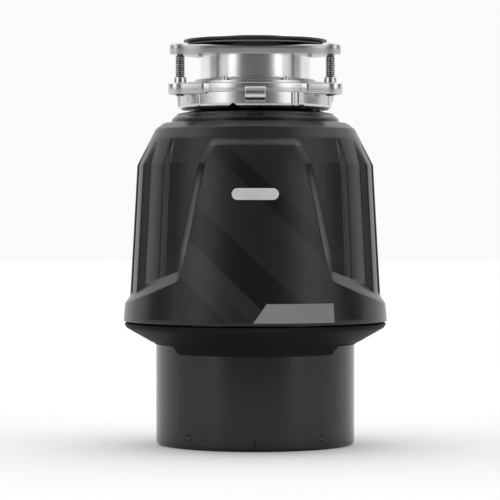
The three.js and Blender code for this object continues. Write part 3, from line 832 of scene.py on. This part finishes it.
def side_surface(degrees, z):
    low, high = ledge(LEDGE_LOW, degrees), ledge(LEDGE_HIGH, degrees)
    back = FACET_DEPTH * through(SIDE_DEPTHS, degrees)
    if z < low:
        return panel_radius(z)
    slope = (side_radius(high) - FACET_DEPTH - panel_radius(low)) / (high - low)
    if z < BREAK_Z:
        return max(side_radius(z) - back, panel_radius(low) + slope * (z - low))
    return shoulder_radius(z) - back * mix(1, 0, (z - BREAK_Z) / (RECESS_TOP_Z - BREAK_Z))


def panel_surface(z):
    if z < PANEL_TOP[0]:
        return panel_radius(z)
    if z < PANEL_TOP[1]:
        share = (z - PANEL_TOP[0]) / (PANEL_TOP[1] - PANEL_TOP[0])
        return mix(panel_radius(PANEL_TOP[0]), shoulder_radius(PANEL_TOP[1]), share)
    return shoulder_radius(z)


def casing_radius(degrees, z):
    """The outer surface with its edges rounded over by averaging close neighbours."""
    total = 0.0
    for dd in (-0.27, 0.0, 0.27):
        for dz in (-0.55, 0.0, 0.55):
            a, h = abs(degrees + dd), max(SEAM_Z, z + dz)
            a = 180 - a if a > 90 else a
            half = panel_half(h)
            share = min(1.0, max(0.0, (a - half + bevel_deg(h)) / bevel_deg(h)))
            panel = panel_surface(h)
            total += panel if share <= 0 else panel + (side_surface(a, h) - panel) * share
    return total / 9


def casing_columns():
    """Each column gives its angle at a height, and the nominal angle that sets the height of the ledge."""
    side = SIDE_STATIONS[0]
    face = (0, 0.09, 0.18, 0.27, 0.36, 0.45, 0.54, 0.63, 0.72, 0.81, 0.9, 0.96, 1)
    slope = (-0.06, 0, 0.06, 0.2, 0.5, 0.8, 0.94, 1, 1.05, 1.11)
    facet = (0.08, 0.25, 0.45, 0.65, 0.85)
    columns = [(lambda z, t=t: t * (panel_half(z) - bevel_deg(z) - 0.6), EDGE_DEG) for t in face]
    columns += [(lambda z, t=t: panel_half(z) - bevel_deg(z) * (1 - t), EDGE_DEG) for t in slope]
    columns += [(lambda z, t=t: mix(panel_half(z) + 1, side, t), mix(EDGE_DEG, side, t)) for t in facet]
    columns += [(lambda z, t=t: t, t) for t in SIDE_STATIONS]
    return columns


def casing_heights(nominal):
    """A column's points from the seam to the shoulder, close together at the edges that they cross."""
    low, high = ledge(LEDGE_LOW, nominal), ledge(LEDGE_HIGH, nominal)
    edge = (-2.2, -1.4, -0.7, 0, 0.7, 1.4, 2.2)
    rows = [mix(SEAM_Z + 0.5, low - 2.4, i / 6) for i in range(6)]
    rows += [low + d for d in edge]
    rows += [mix(low + 2.2, high - 2.2, i / 8) for i in range(1, 8)]
    rows += [high + d for d in edge]
    rows += [mix(high + 2.2, BREAK_Z - 2.4, i / 24) for i in range(1, 25)]
    rows += [BREAK_Z + d for d in (-1.6, -0.9, -0.3, 0.3, 0.9, 1.6, 2.6, 4.5, 7, 9.5, 11.8)]
    rows += [235.3, 235.9, 236.4, 236.9, 237.5, 238.6, 239.8, 240.6, 241.1, 241.6, 242.2, 242.8, 243.4, 244.2]
    return rows + [246, 248]


def casing():
    quarter = casing_columns()
    turn = [(a, n, 1, 0) for a, n in quarter] + [(a, n, -1, 180) for a, n in reversed(quarter[:-1])]
    turn += [(a, n, 1, 180) for a, n in quarter[1:]] + [(a, n, -1, 360) for a, n in reversed(quarter[1:-1])]
    crown = rounded([
        (SHOULDER_R + 0.55, 249.6), (79.6, 251.2, 2), (73.4, 255.9, 3), (68.4, 256.6, 0.7), (67.9, 255),
    ])[1:]
    inside = [
        (67.9, 254), (73.4, 250), (87.2, 222), (91.4, 150), (92.2, 128), (101, 112), (101.8, 99),
        (102.2, SEAM_Z),
    ]
    grid = []
    for angle, nominal, way, start in turn:
        column = []
        rows = casing_heights(nominal)
        first = casing_radius(angle(rows[0]), rows[0])
        base = start + way * angle(rows[0]) - 90
        column += [(*polar(first - 0.7, base), SEAM_Z), (*polar(first - 0.15, base), SEAM_Z + 0.12)]
        for z in rows:
            column.append((*polar(casing_radius(angle(z), z), start + way * angle(z) - 90), z))
        top = start + way * angle(rows[-1]) - 90
        column += [(*polar(r, top), z) for r, z in crown + inside]
        grid.append(column)
    n, m = len(grid), len(grid[0])
    verts = [p for column in grid for p in column]
    faces = [(i * m + k, (i + 1) % n * m + k, (i + 1) % n * m + (k + 1) % m, i * m + (k + 1) % m)
             for i in range(n) for k in range(m)]
    body = make("casing_fine", verts, faces, 40)
    outlet = block("outlet_window", (-38, 75, 110), (38, 115, 164), 3)
    inlet = along_y(rod("inlet_window", 14, 0, 50), INLET_X, 65, INLET_Z)
    return cut(body, outlet, inlet)


def on_panel(x, z, lift):
    r = panel_radius(z) + lift
    return x, -math.sqrt(r * r - x * x), z


def panel_patch(name, left, right, low, high, lift, depth=0.5, across=24, up=40):
    """A thin closed sheet lying on the front panel, with a soft edge. left and right give x at a height."""
    verts, faces = [], []
    for top in (True, False):
        for j in range(up + 1):
            z = mix(low, high, j / up)
            for i in range(across + 1):
                edge = top and (i in (0, across) or j in (0, up))
                height = lift - 0.12 if edge else lift if top else -depth
                verts.append(on_panel(mix(left(z), right(z), i / across), z, height))
    w, half = across + 1, (across + 1) * (up + 1)
    for j in range(up):
        for i in range(across):
            a = j * w + i
            faces += [(a, a + 1, a + w + 1, a + w), (half + a, half + a + w, half + a + w + 1, half + a + 1)]
    rim = [i for i in range(w)] + [j * w + across for j in range(1, up + 1)]
    rim += [up * w + i for i in range(across - 1, -1, -1)] + [j * w for j in range(up - 1, 0, -1)]
    faces += [(a, half + a, half + b, b) for a, b in zip(rim, rim[1:] + rim[:1])]
    return make(name, verts, faces)


def film_edge(z):
    return panel_radius(z) * math.sin(math.radians(panel_half(z) - bevel_deg(z) - 0.3))


def front_film():
    return panel_patch("front_film", lambda z: -film_edge(z), film_edge, 100, 235.3, 0.22, across=40, up=90)


def type_tag():
    """A blank grey tag: its left end is cut on the slant."""
    low, high = 100.3, 115.1

    def left(z):
        return mix(-1.7, 8.7, (z - low) / (high - low))

    return panel_patch("blank_tag", left, lambda z: film_edge(z) - 0.5, low, high, 0.42, across=30, up=8)


def name_plate():
    """A blank pale badge with round ends."""
    half, r, mid = 18.0, 4.5, 198.9
    flat = [(mix(half - r, r - half, i / 16), r) for i in range(1, 16)]
    ends = [arc(half - r, 0, r, -90, 90, 16), arc(r - half, 0, r, 90, 270, 16)]
    outline = ends[0] + flat + ends[1] + [(-x, -z) for x, z in flat]
    rings = [(1.0, -0.5), (1.0, 0.35), (0.975, 0.55), (0.93, 0.66), (0.86, 0.7), (0.5, 0.72), (0.15, 0.72)]
    verts = [on_panel(x * s, mid + z * s, lift) for s, lift in rings for x, z in outline]
    verts.append(on_panel(0, mid, 0.72))
    verts.append(on_panel(0, mid, -0.5))
    n = len(outline)
    faces = [(k * n + i, k * n + (i + 1) % n, (k + 1) * n + (i + 1) % n, (k + 1) * n + i)
             for k in range(len(rings) - 1) for i in range(n)]
    last = (len(rings) - 1) * n
    faces += [(last + i, last + (i + 1) % n, len(verts) - 2) for i in range(n)]
    faces += [((i + 1) % n, i, len(verts) - 1) for i in range(n)]
    return make("blank_badge", verts, faces)


piece(casing(), "disposer", "black_plastic", casing_black, "casing")
piece(front_film(), "disposer", "black_plastic", film_black)
piece(type_tag(), "disposer", "grey_plastic", tag_grey)
piece(name_plate(), "disposer", "grey_plastic", badge_pale)


# ---- Covers and motor can ----
def casing_collar():
    low, _, rim = span("casing_collar")
    return revolve("casing_collar_fine", [
        (49, low, 0.3), (rim, low, 0.3), (66.8, 258.6, 0.8), (65.6, 260.2, 1), (62.9, 262.1, 0.8),
        (62.2, 263.5, 0.7), (54, 264.9, 2), (46.5, 265.2, 0.6), (46.5, 262.6, 0.3), (49, 262, 0.3),
    ])


def from_front(degrees):
    """The angle away from the middle of the front, 0 to 180."""
    return abs((degrees + 90 + 180) % 360 - 180)


def lower_cover():
    """The cone under the seam. At the front it has a lip that laps down over the can."""

    def lip(r, z, degrees):
        away = from_front(degrees)
        if z < 81.5 and r < 82.5:
            rise = smooth((away - 46) / 9)
            lowest = mix(73.6, 80.0, rise)
            r = mix(r, min(r, 79.9 + (r - 79.7) * 0.25), rise)
            z = max(z, lowest)
        return r, z

    return revolve("lower_cover_fine", [
        (79.75, 73.6, 0.2), (80.9, 73.6, 0.5), (81, 76), (81.1, 78.4), (81.3, 80.4, 1.2), (84, 82.3),
        (90, 85.8), (96, 89.2), (102.6, 93.0, 2), (104.2, 95.2, 1.2), (104.2, 96.8, 0.5),
        (100.6, 97.4, 0.3), (100.6, 95.4, 0.5), (92, 90), (79.75, 83),
    ], 320, lip)


def motor_can():
    """A drawn can: rolled foot, two staked dimples low on the front and a short seam notch."""
    low, high, _ = span("motor_can")
    outer, inner = 79.2, 77.8

    def pressed(r, z, degrees):
        if r > 78 and z < 60:
            away = from_front(degrees)
            dimple = math.exp(-((away - 40.5) / 1.1) ** 2 - ((z - 10) / 1.7) ** 2)
            seam = math.exp(-(away / 0.45) ** 2) * smooth((8.6 - z) / 1.2)
            r -= 1.1 * dimple + 0.9 * seam
        return r, z

    heights = (
        3.5, 4.5, 5.5, 6.3, 7, 7.6, 8.2, 8.7, 9.2, 9.6, 10, 10.4, 10.8, 11.3, 11.8, 12.4, 13.2, 14.2, 16,
        24, 44, 70,
    )
    wall = [(outer, z) for z in heights]
    return revolve("motor_can_fine", [
        (70, low + 0.1, 0.5), (77.4, low, 1.4), (outer, 2.2, 0.9),
    ] + wall + [
        (outer, high, 0.3), (inner, high, 0.3), (inner, 40), (inner, 1.6, 0.8), (70, 1.5, 0.5),
    ], 720, pressed)


piece(casing_collar(), "disposer", "black_plastic", casing_black, "casing_collar")
piece(lower_cover(), "disposer", "black_plastic", cover_black, "lower_cover")
piece(motor_can(), "disposer", "black_paint", can_black, "motor_can")


# ---- Underside ----
BUTTON = (0, -44)
GROMMET = (46, -6)
TERMINAL_SCREW = (46, 19)


def base_cover():
    low, high, _ = span("base_cover")
    holes = [circle(0, 0, 10), circle(*BUTTON, 6.4), circle(*TERMINAL_SCREW, 2.4, 24)]
    holes.append(rounded_box(*GROMMET, 28, 30, 2))
    body = plate("base_cover_fine", [circle(0, 0, 77.3, STEPS)] + holes, low, high, 0.5)
    ribs = [revolve("rib", [
        (r - 1.6, high - 0.6), (r - 1.2, high + 0.7, 0.5), (r + 1.2, high + 0.7, 0.5), (r + 1.6, high - 0.6),
    ]) for r in (20, 69)]
    grooves = [revolve("groove", [
        (r - 1.4, low - 1), (r + 1.4, low - 1), (r + 0.9, low + 0.6, 0.3), (r - 0.9, low + 0.6, 0.3),
    ]) for r in (23.5, 73)]
    return join(cut(body, *grooves), *ribs)


def rounded_box(x, y, width, depth, radius):
    w, d = width / 2, depth / 2
    corners = ((-w, -d), (w, -d), (w, d), (-w, d))
    return rounded([(x + dx, y + dy, radius) for dx, dy in corners])


def terminal_cover():
    low, high, _ = span("terminal_cover")
    holes = [circle(*GROMMET, 11.2), circle(*TERMINAL_SCREW, 2.4, 24)]
    return plate("terminal_cover_fine", [rounded_box(46, 0, 36, 48, 3)] + holes, low, high, 0.35)


def terminal_screw():
    low, high, _ = span("terminal_screw")
    screw = revolve("terminal_screw_fine", [
        (0, low), (3.1, low, 0.6), (3.8, 0.9, 0.4), (3.8, 1.4, 0.2), (2, 1.4, 0.3), (2, high - 1, 0.3),
        (1.2, high, 0.2), (0, high),
    ], 40, at=TERMINAL_SCREW)
    return cut(screw, block("slot", (41, 18.6, low - 1), (51, 19.4, low + 0.7)))


def cable_grommet():
    low, high, _ = span("cable_grommet")
    return revolve("cable_grommet_fine", [
        (8, low, 0.6), (12.8, low, 0.4), (12.8, 1.4, 0.3), (10.8, 1.4, 0.2), (10.8, 3.4, 0.2),
        (12.8, 3.4, 0.3), (12.8, high, 0.4), (8, high, 0.6),
    ], 64, at=GROMMET)


def reset_button():
    low, high, _ = span("reset_button")
    return revolve("reset_button_fine", [
        (0, low + 0.35), (2.6, low + 0.35, 0.4), (3.1, low, 0.3), (4.5, low, 0.5), (5.2, 2.0, 0.5),
        (5.2, 6.6, 0.3), (4, 6.6, 0.3), (4, high, 0.4), (0, high),
    ], 48, at=BUTTON)


def motor_shaft():
    low, high, _ = span("motor_shaft")
    shaft = revolve("motor_shaft_fine", [
        (0, low), (5.3, low, 0.3), (6, low + 0.8, 0.3), (6, 33.4, 0.4), (7.5, 33.4, 0.4), (7.5, 152, 0.4),
        (5.8, 152, 0.3), (5.8, high - 0.8, 0.3), (5.0, high, 0.3), (0, high),
    ], 64)
    socket = revolve("socket", [(0, low - 1), (3.65, low - 1), (3.65, 16), (0, 17)], 6)
    return cut(shaft, socket)


# ---- Drain outlet and dishwasher inlet ----
OUTLET_X, OUTLET_Z = 0, 137  # the axis of the drain outlet, which runs along Y
SCREW_X = 27  # from that axis to each flange screw


def outlet_y(node):
    low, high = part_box(node)
    return low.y / MM, high.y / MM


def standing(obj, y):
    """Stands a piece made along +Z on the outlet's axis, so that it points along +Y."""
    return along_y(obj, OUTLET_X, y, OUTLET_Z)


def upper_end_bell():
    bell = revolve("upper_end_bell_fine", [
        (16.5, 110, 0.4), (21, 110, 0.8), (21, 114.5, 1.5), (78.6, 112.3, 0.6), (78.6, 117, 0.8),
        (70.7, 119, 1.5), (70.7, 146, 1), (74.5, 152.1, 0.4), (70.3, 152.1, 0.4), (65, 147, 1),
        (65, 128, 3), (21.5, 121.5, 2), (20, 140, 0.8), (13.4, 140, 0.3), (13.4, 130, 0.3),
        (16.5, 130, 0.3),
    ])
    front = outlet_y("upper_end_bell")[1]
    spout = standing(rod("spout", 22, 0, front - 60, steps=96), 60)
    face = standing(plate("face", [rounded_box(0, 0, 68, 46, 7)], 0, 4.8, 1.0), front - 4.8)
    bore = standing(rod("bore", 18.5, 0, 50, steps=96), 61)
    inside = revolve("inside", [
        (0, 122.5), (22, 122.5), (64.7, 128.6, 3), (64.7, 148, 1), (70.2, 152), (70.2, 165), (0, 165),
    ])
    outlet = cut(join(face, spout), inside)
    holes = [standing(rod("hole", 3, 0, 14, (x, 0), 32), front - 7) for x in (-SCREW_X, SCREW_X)]
    return cut(join(bell, cut(outlet, *holes)), bore)


def outlet_gasket():
    y0, y1 = outlet_y("outlet_gasket")
    body = revolve("outlet_gasket_fine", [
        (18.5, 0, 0.3), (22, 0, 0.5), (22, y1 - y0, 0.5), (20.9, y1 - y0, 0.1), (20.6, y1 - y0 - 0.4, 0.1),
        (20.1, y1 - y0 - 0.4, 0.1), (19.8, y1 - y0, 0.1), (18.5, y1 - y0, 0.3),
    ], 96)
    return standing(body, y0)


def outlet_flange():
    y0, y1 = outlet_y("outlet_flange")
    rim = arc(SCREW_X, 0, 8, -66, 66, 18) + arc(0, 0, 24.5, 35, 145, 36)
    rim += arc(-SCREW_X, 0, 8, 114, 246, 18) + arc(0, 0, 24.5, 215, 325, 36)
    outline = rounded([(*p, 2) for p in rim])
    holes = [circle(0, 0, 19.5, 96), circle(SCREW_X, 0, 3, 32), circle(-SCREW_X, 0, 3, 32)]
    return standing(plate("outlet_flange_fine", [outline] + holes, 0, y1 - y0, 0.5), y0)


def outlet_screw(side, x):
    y0, y1 = outlet_y(f"outlet_screw_{side}")
    length = y1 - y0
    shank = revolve("shank", [
        (0, 0), (2.0, 0, 0.3), (2.6, 0.9, 0.2), (2.6, length - 2.9), (0, length - 2.9),
    ], 40)
    washer = rod("washer", 5.2, length - 3.2, length - 2.3, steps=48, edge=0.3)
    head = revolve("head", [
        (0, length - 2.8), (4.6, length - 2.8, 0.2), (4.6, length - 0.5, 0.3), (3.9, length, 0.2),
        (0, length),
    ], 6)
    screw = join(washer, shank, bevelled(head, 0.25))
    screw.name = f"outlet_screw_{side}_fine"
    return along_y(screw, x, y0, OUTLET_Z)


def container():
    """The hopper, with a stepped spigot for a dishwasher hose, closed by its knock-out."""
    low, high, _ = span("container")
    body = revolve("container_fine", [
        (40.6, high, 0.3), (40.6, 257, 3), (60, 246, 5), (69, 226, 6), (69, low, 0.4), (71.5, low, 0.4),
        (71.5, 227, 6), (62, 248.6, 5), (45.8, 256.6, 3), (45.8, high, 0.3),
    ])
    end = outlet_y("container")[1]
    barb = revolve("barb", [
        (0, 0), (10.4, 0), (10.4, 23), (10.9, 24, 0.4), (10.9, 28, 0.3), (10.2, 28.4, 0.3), (10.2, 31),
        (11, 32, 0.4), (10.3, 37.4, 0.6), (9.6, 40, 0.4), (0, 40),
    ], 72)
    barb = along_y(barb, INLET_X, end - 40, INLET_Z)
    hollow = revolve("hollow", [(0, 180), (68.6, 180), (68.6, 226, 6), (59.6, 245.8, 5), (0, 245.8)])
    barb = cut(barb, hollow)
    bore = along_y(rod("bore", 8.2, 0, 40, steps=64), INLET_X, 65.5, INLET_Z)
    return cut(join(body, barb), bore)


piece(base_cover(), "disposer", "black_paint", can_black, "base_cover")
piece(terminal_cover(), "disposer", "zinc_steel", ring_zinc, "terminal_cover")
piece(terminal_screw(), "disposer", "zinc_steel", screw_zinc, "terminal_screw")
piece(cable_grommet(), "disposer", "rubber", rubber_black, "cable_grommet")
piece(reset_button(), "reset_button", "red_plastic", red_plastic, "reset_button")
piece(motor_shaft(), "rotor", "steel", plain_steel, "motor_shaft")
piece(upper_end_bell(), "disposer", "cast_aluminium", cast_metal, "upper_end_bell")
piece(outlet_gasket(), "disposer", "rubber", rubber_black, "outlet_gasket")
piece(outlet_flange(), "disposer", "zinc_steel", flange_zinc, "outlet_flange")
for side, x in (("left", SCREW_X), ("right", -SCREW_X)):
    piece(outlet_screw(side, x), "disposer", "zinc_steel", screw_zinc, f"outlet_screw_{side}")
piece(container(), "disposer", "grey_plastic", hopper_grey, "container")


# ---- Grinding parts ----
PLATE_Z = 154
PIN_R = 38


def grind_ring():
    """The shredder ring: slots with sharp lips all round its wall."""
    low, high, _ = span("grind_ring")
    body = revolve("grind_ring_fine", [
        (61.8, low, 0.3), (69.4, low, 0.5), (69.4, high, 0.5), (61.8, high, 0.3),
    ])
    count = 10
    slots = [block("slot", (59.5, -1.6, 153.5), (65.5, 1.6, 162.5)) for _ in range(count)]
    return cut(body, *[spun(slot, 360 / count * i) for i, slot in enumerate(slots)])


def grind_plate():
    low, high, rim = span("grind_plate")
    body = revolve("grind_plate_fine", [
        (6.7, low, 0.3), (rim, low, 0.4), (rim, PLATE_Z + 2.4, 0.5), (20, PLATE_Z + 2.4, 3), (15, high, 2),
        (6.7, high, 0.3),
    ])
    holes = [rod("drain", 2.4, 150, 162, polar(50, 30 + 60 * i), 26) for i in range(6)]
    pins = [rod("pin_hole", 2.6, 150, 162, (x, 0), 24) for x in (PIN_R, -PIN_R)]
    return cut(body, *holes, *pins)


def swivel_lug(name, side):
    outline = arc(PIN_R, 0, 7.4, 90, 270, 24) + arc(PIN_R + 11, 0, 7.4, -90, 90, 24)
    eye = circle(PIN_R, 0, 3.4, 32)
    bar = plate(f"swivel_lug_{name}_fine", [outline, eye], PLATE_Z + 2.8, PLATE_Z + 6.8, 0.5)
    head = arc(PIN_R + 11, 0, 7.4, -58, 58, 16) + [(PIN_R + 9.5, 5.6), (PIN_R + 9.5, -5.6)]
    hammer = plate("hammer", [rounded([(*p, 0.8) for p in head])], PLATE_Z + 5.5, PLATE_Z + 15, 0.7)
    return spun(join(bar, hammer), 0 if side > 0 else 180)


def lug_pin(name, side):
    low, high, _ = span(f"lug_pin_{name}")
    return revolve(f"lug_pin_{name}_fine", [
        (0, low), (3.4, low, 0.3), (4, low + 0.6, 0.3), (4, PLATE_Z - 0.3, 0.2), (2.3, PLATE_Z - 0.3, 0.2),
        (2.3, PLATE_Z + 2.7), (3.1, PLATE_Z + 2.7), (3.1, PLATE_Z + 7.1), (5, PLATE_Z + 7.1, 0.2),
        (4.6, high - 0.6, 0.6), (2.8, high, 0.5), (0, high),
    ], 40, at=(side * PIN_R, 0))


def plate_nut():
    low, high, _ = span("plate_nut")
    nut = revolve("plate_nut_fine", [
        (6.2, low + 0.6), (6.8, low), (10.4, low, 0.2), (10.5, high - 0.8, 0.3), (9.4, high, 0.2),
        (6.8, high), (6.2, high - 0.6),
    ], 6)
    hole = rod("hole", 6.2, low - 1, high + 1, steps=48)
    return cut(bevelled(nut, 0.3), hole)


def cad_node(node, look):
    """Keeps a node's own mesh: fine enough for a part shut inside the motor, with a soft edge."""
    obj = bpy.data.objects[node]
    obj.data.materials.clear()
    obj.data.materials.append(look)
    edge = obj.modifiers.new("edge", "BEVEL")
    edge.width = 0.35 * MM
    edge.segments = 2
    edge.limit_method = "ANGLE"
    edge.angle_limit = math.radians(40)
    obj.data.shade_smooth()
    obj.data.set_sharp_from_angle(angle=math.radians(34))


piece(grind_ring(), "disposer", "steel", plain_steel, "grind_ring")
piece(grind_plate(), "rotor", "stainless", sleeve_steel, "grind_plate")
piece(plate_nut(), "rotor", "steel", plain_steel, "plate_nut")
for name, side in (("a", 1), ("b", -1)):
    piece(swivel_lug(name, side), f"lug_{name}", "stainless", cast_metal, f"swivel_lug_{name}")
    piece(lug_pin(name, side), "rotor", "steel", plain_steel, f"lug_pin_{name}")

INSIDE = {
    "acoustic_foam": foam_grey, "lower_end_bell": cast_metal, "lower_bearing": bronze,
    "thrust_washer": plain_steel, "overload_protector": dark_plastic, "stator_core": core_steel,
    "winding_lower": winding_copper, "winding_upper": winding_copper, "start_switch": dark_plastic,
    "upper_bearing": bronze, "shaft_seal": rubber_black, "rotor_core": core_steel,
    "rotor_ring_lower": cast_metal, "rotor_ring_upper": cast_metal, "slinger": rubber_black,
    "governor_collar": hopper_grey, "through_bolt_front_right": screw_zinc,
    "through_bolt_front_left": screw_zinc, "through_bolt_back_left": screw_zinc,
    "through_bolt_back_right": screw_zinc,
}
for node, look in INSIDE.items():
    cad_node(node, look)


# ---- Camera, floor and light ----
def aimed(obj, place, target):
    obj.location = place
    obj.rotation_euler = (Vector(target) - Vector(place)).to_track_quat("-Z", "Y").to_euler()
    return obj


def camera():
    data = bpy.data.cameras.new("camera")
    data.lens = 186
    data.sensor_width = 36
    data.clip_end = 50
    eye, target = (0, -2.067, 0.1848), (-0.0042, 0, 0.1548)
    bpy.context.scene.camera = aimed(placed("camera", data), eye, target)


def softbox(name, place, target, width, height, radiance):
    """A rectangular studio light of a given brightness, in metres."""
    data = bpy.data.lights.new(name, "AREA")
    data.shape = "RECTANGLE"
    data.size = width
    data.size_y = height
    data.energy = radiance * math.pi * width * height
    aimed(placed(name, data), place, target)


def floor():
    half = 8.0
    mesh = bpy.data.meshes.new("floor")
    corners = [(-half, -half, 0), (half, -half, 0), (half, half, 0), (-half, half, 0)]
    mesh.from_pydata(corners, [], [(0, 1, 2, 3)])
    obj = placed("floor", mesh)
    n = Nodes("pale_floor")
    y = n.add("ShaderNodeSeparateXYZ", Vector=n.place).outputs["Y"]
    pale = n.ramp(y, -1.4, -0.5)  # it darkens far in front of the object, out of view
    n.set(Base_Color=n.blend(pale, grey(0.16), grey(0.9)), Roughness=0.8, Specular_IOR_Level=0.0)
    mesh.materials.append(n.owner)


def studio():
    """A white room, darker on the viewer's side, so that black surfaces facing the viewer stay black."""
    n = Nodes("studio", "worlds", "Generated")

    def step(value, start, end, low=0.0, high=1.0):
        return n.ramp(value, start, end, low, high, "SMOOTHSTEP")

    axes = n.add("ShaderNodeSeparateXYZ", Vector=n.place).outputs
    squares = [n.math("MULTIPLY", axes[name], axes[name]) for name in "XY"]
    across = n.math("SQRT", n.math("ADD", *squares))
    front = n.math("DIVIDE", n.math("MULTIPLY", axes["Y"], -1.0), n.math("ADD", across, 0.001))
    boxes = n.math("MULTIPLY", step(front, 0.90, 0.74), step(front, 0.08, 0.34))
    sides = n.math("ADD", 0.06, n.math("MULTIPLY", boxes, 1.15))
    level = n.math("ADD", sides, step(front, -0.22, -0.45, 0.0, 0.9))
    high = step(front, 0.75, 0.1, 0.45, 1.7)
    share = step(axes["Z"], 0.35, 0.65)
    below = n.math("MULTIPLY", level, n.math("SUBTRACT", 1.0, share))
    light = n.tree.nodes["Background"].inputs
    n.feed(light["Strength"], n.math("ADD", below, n.math("MULTIPLY", high, share)))
    n.feed(light["Color"], (1, 1, 1, 1))
    bpy.context.scene.world = n.owner


camera()
floor()
studio()
middle = (0, 0, 0.17)
for name, x in (("left_box", -1.7), ("right_box", 1.7)):
    softbox(name, (x, -1.5, 0.6), middle, 0.7, 1.4, 0.9)
bpy.context.scene.view_settings.view_transform = "Standard"
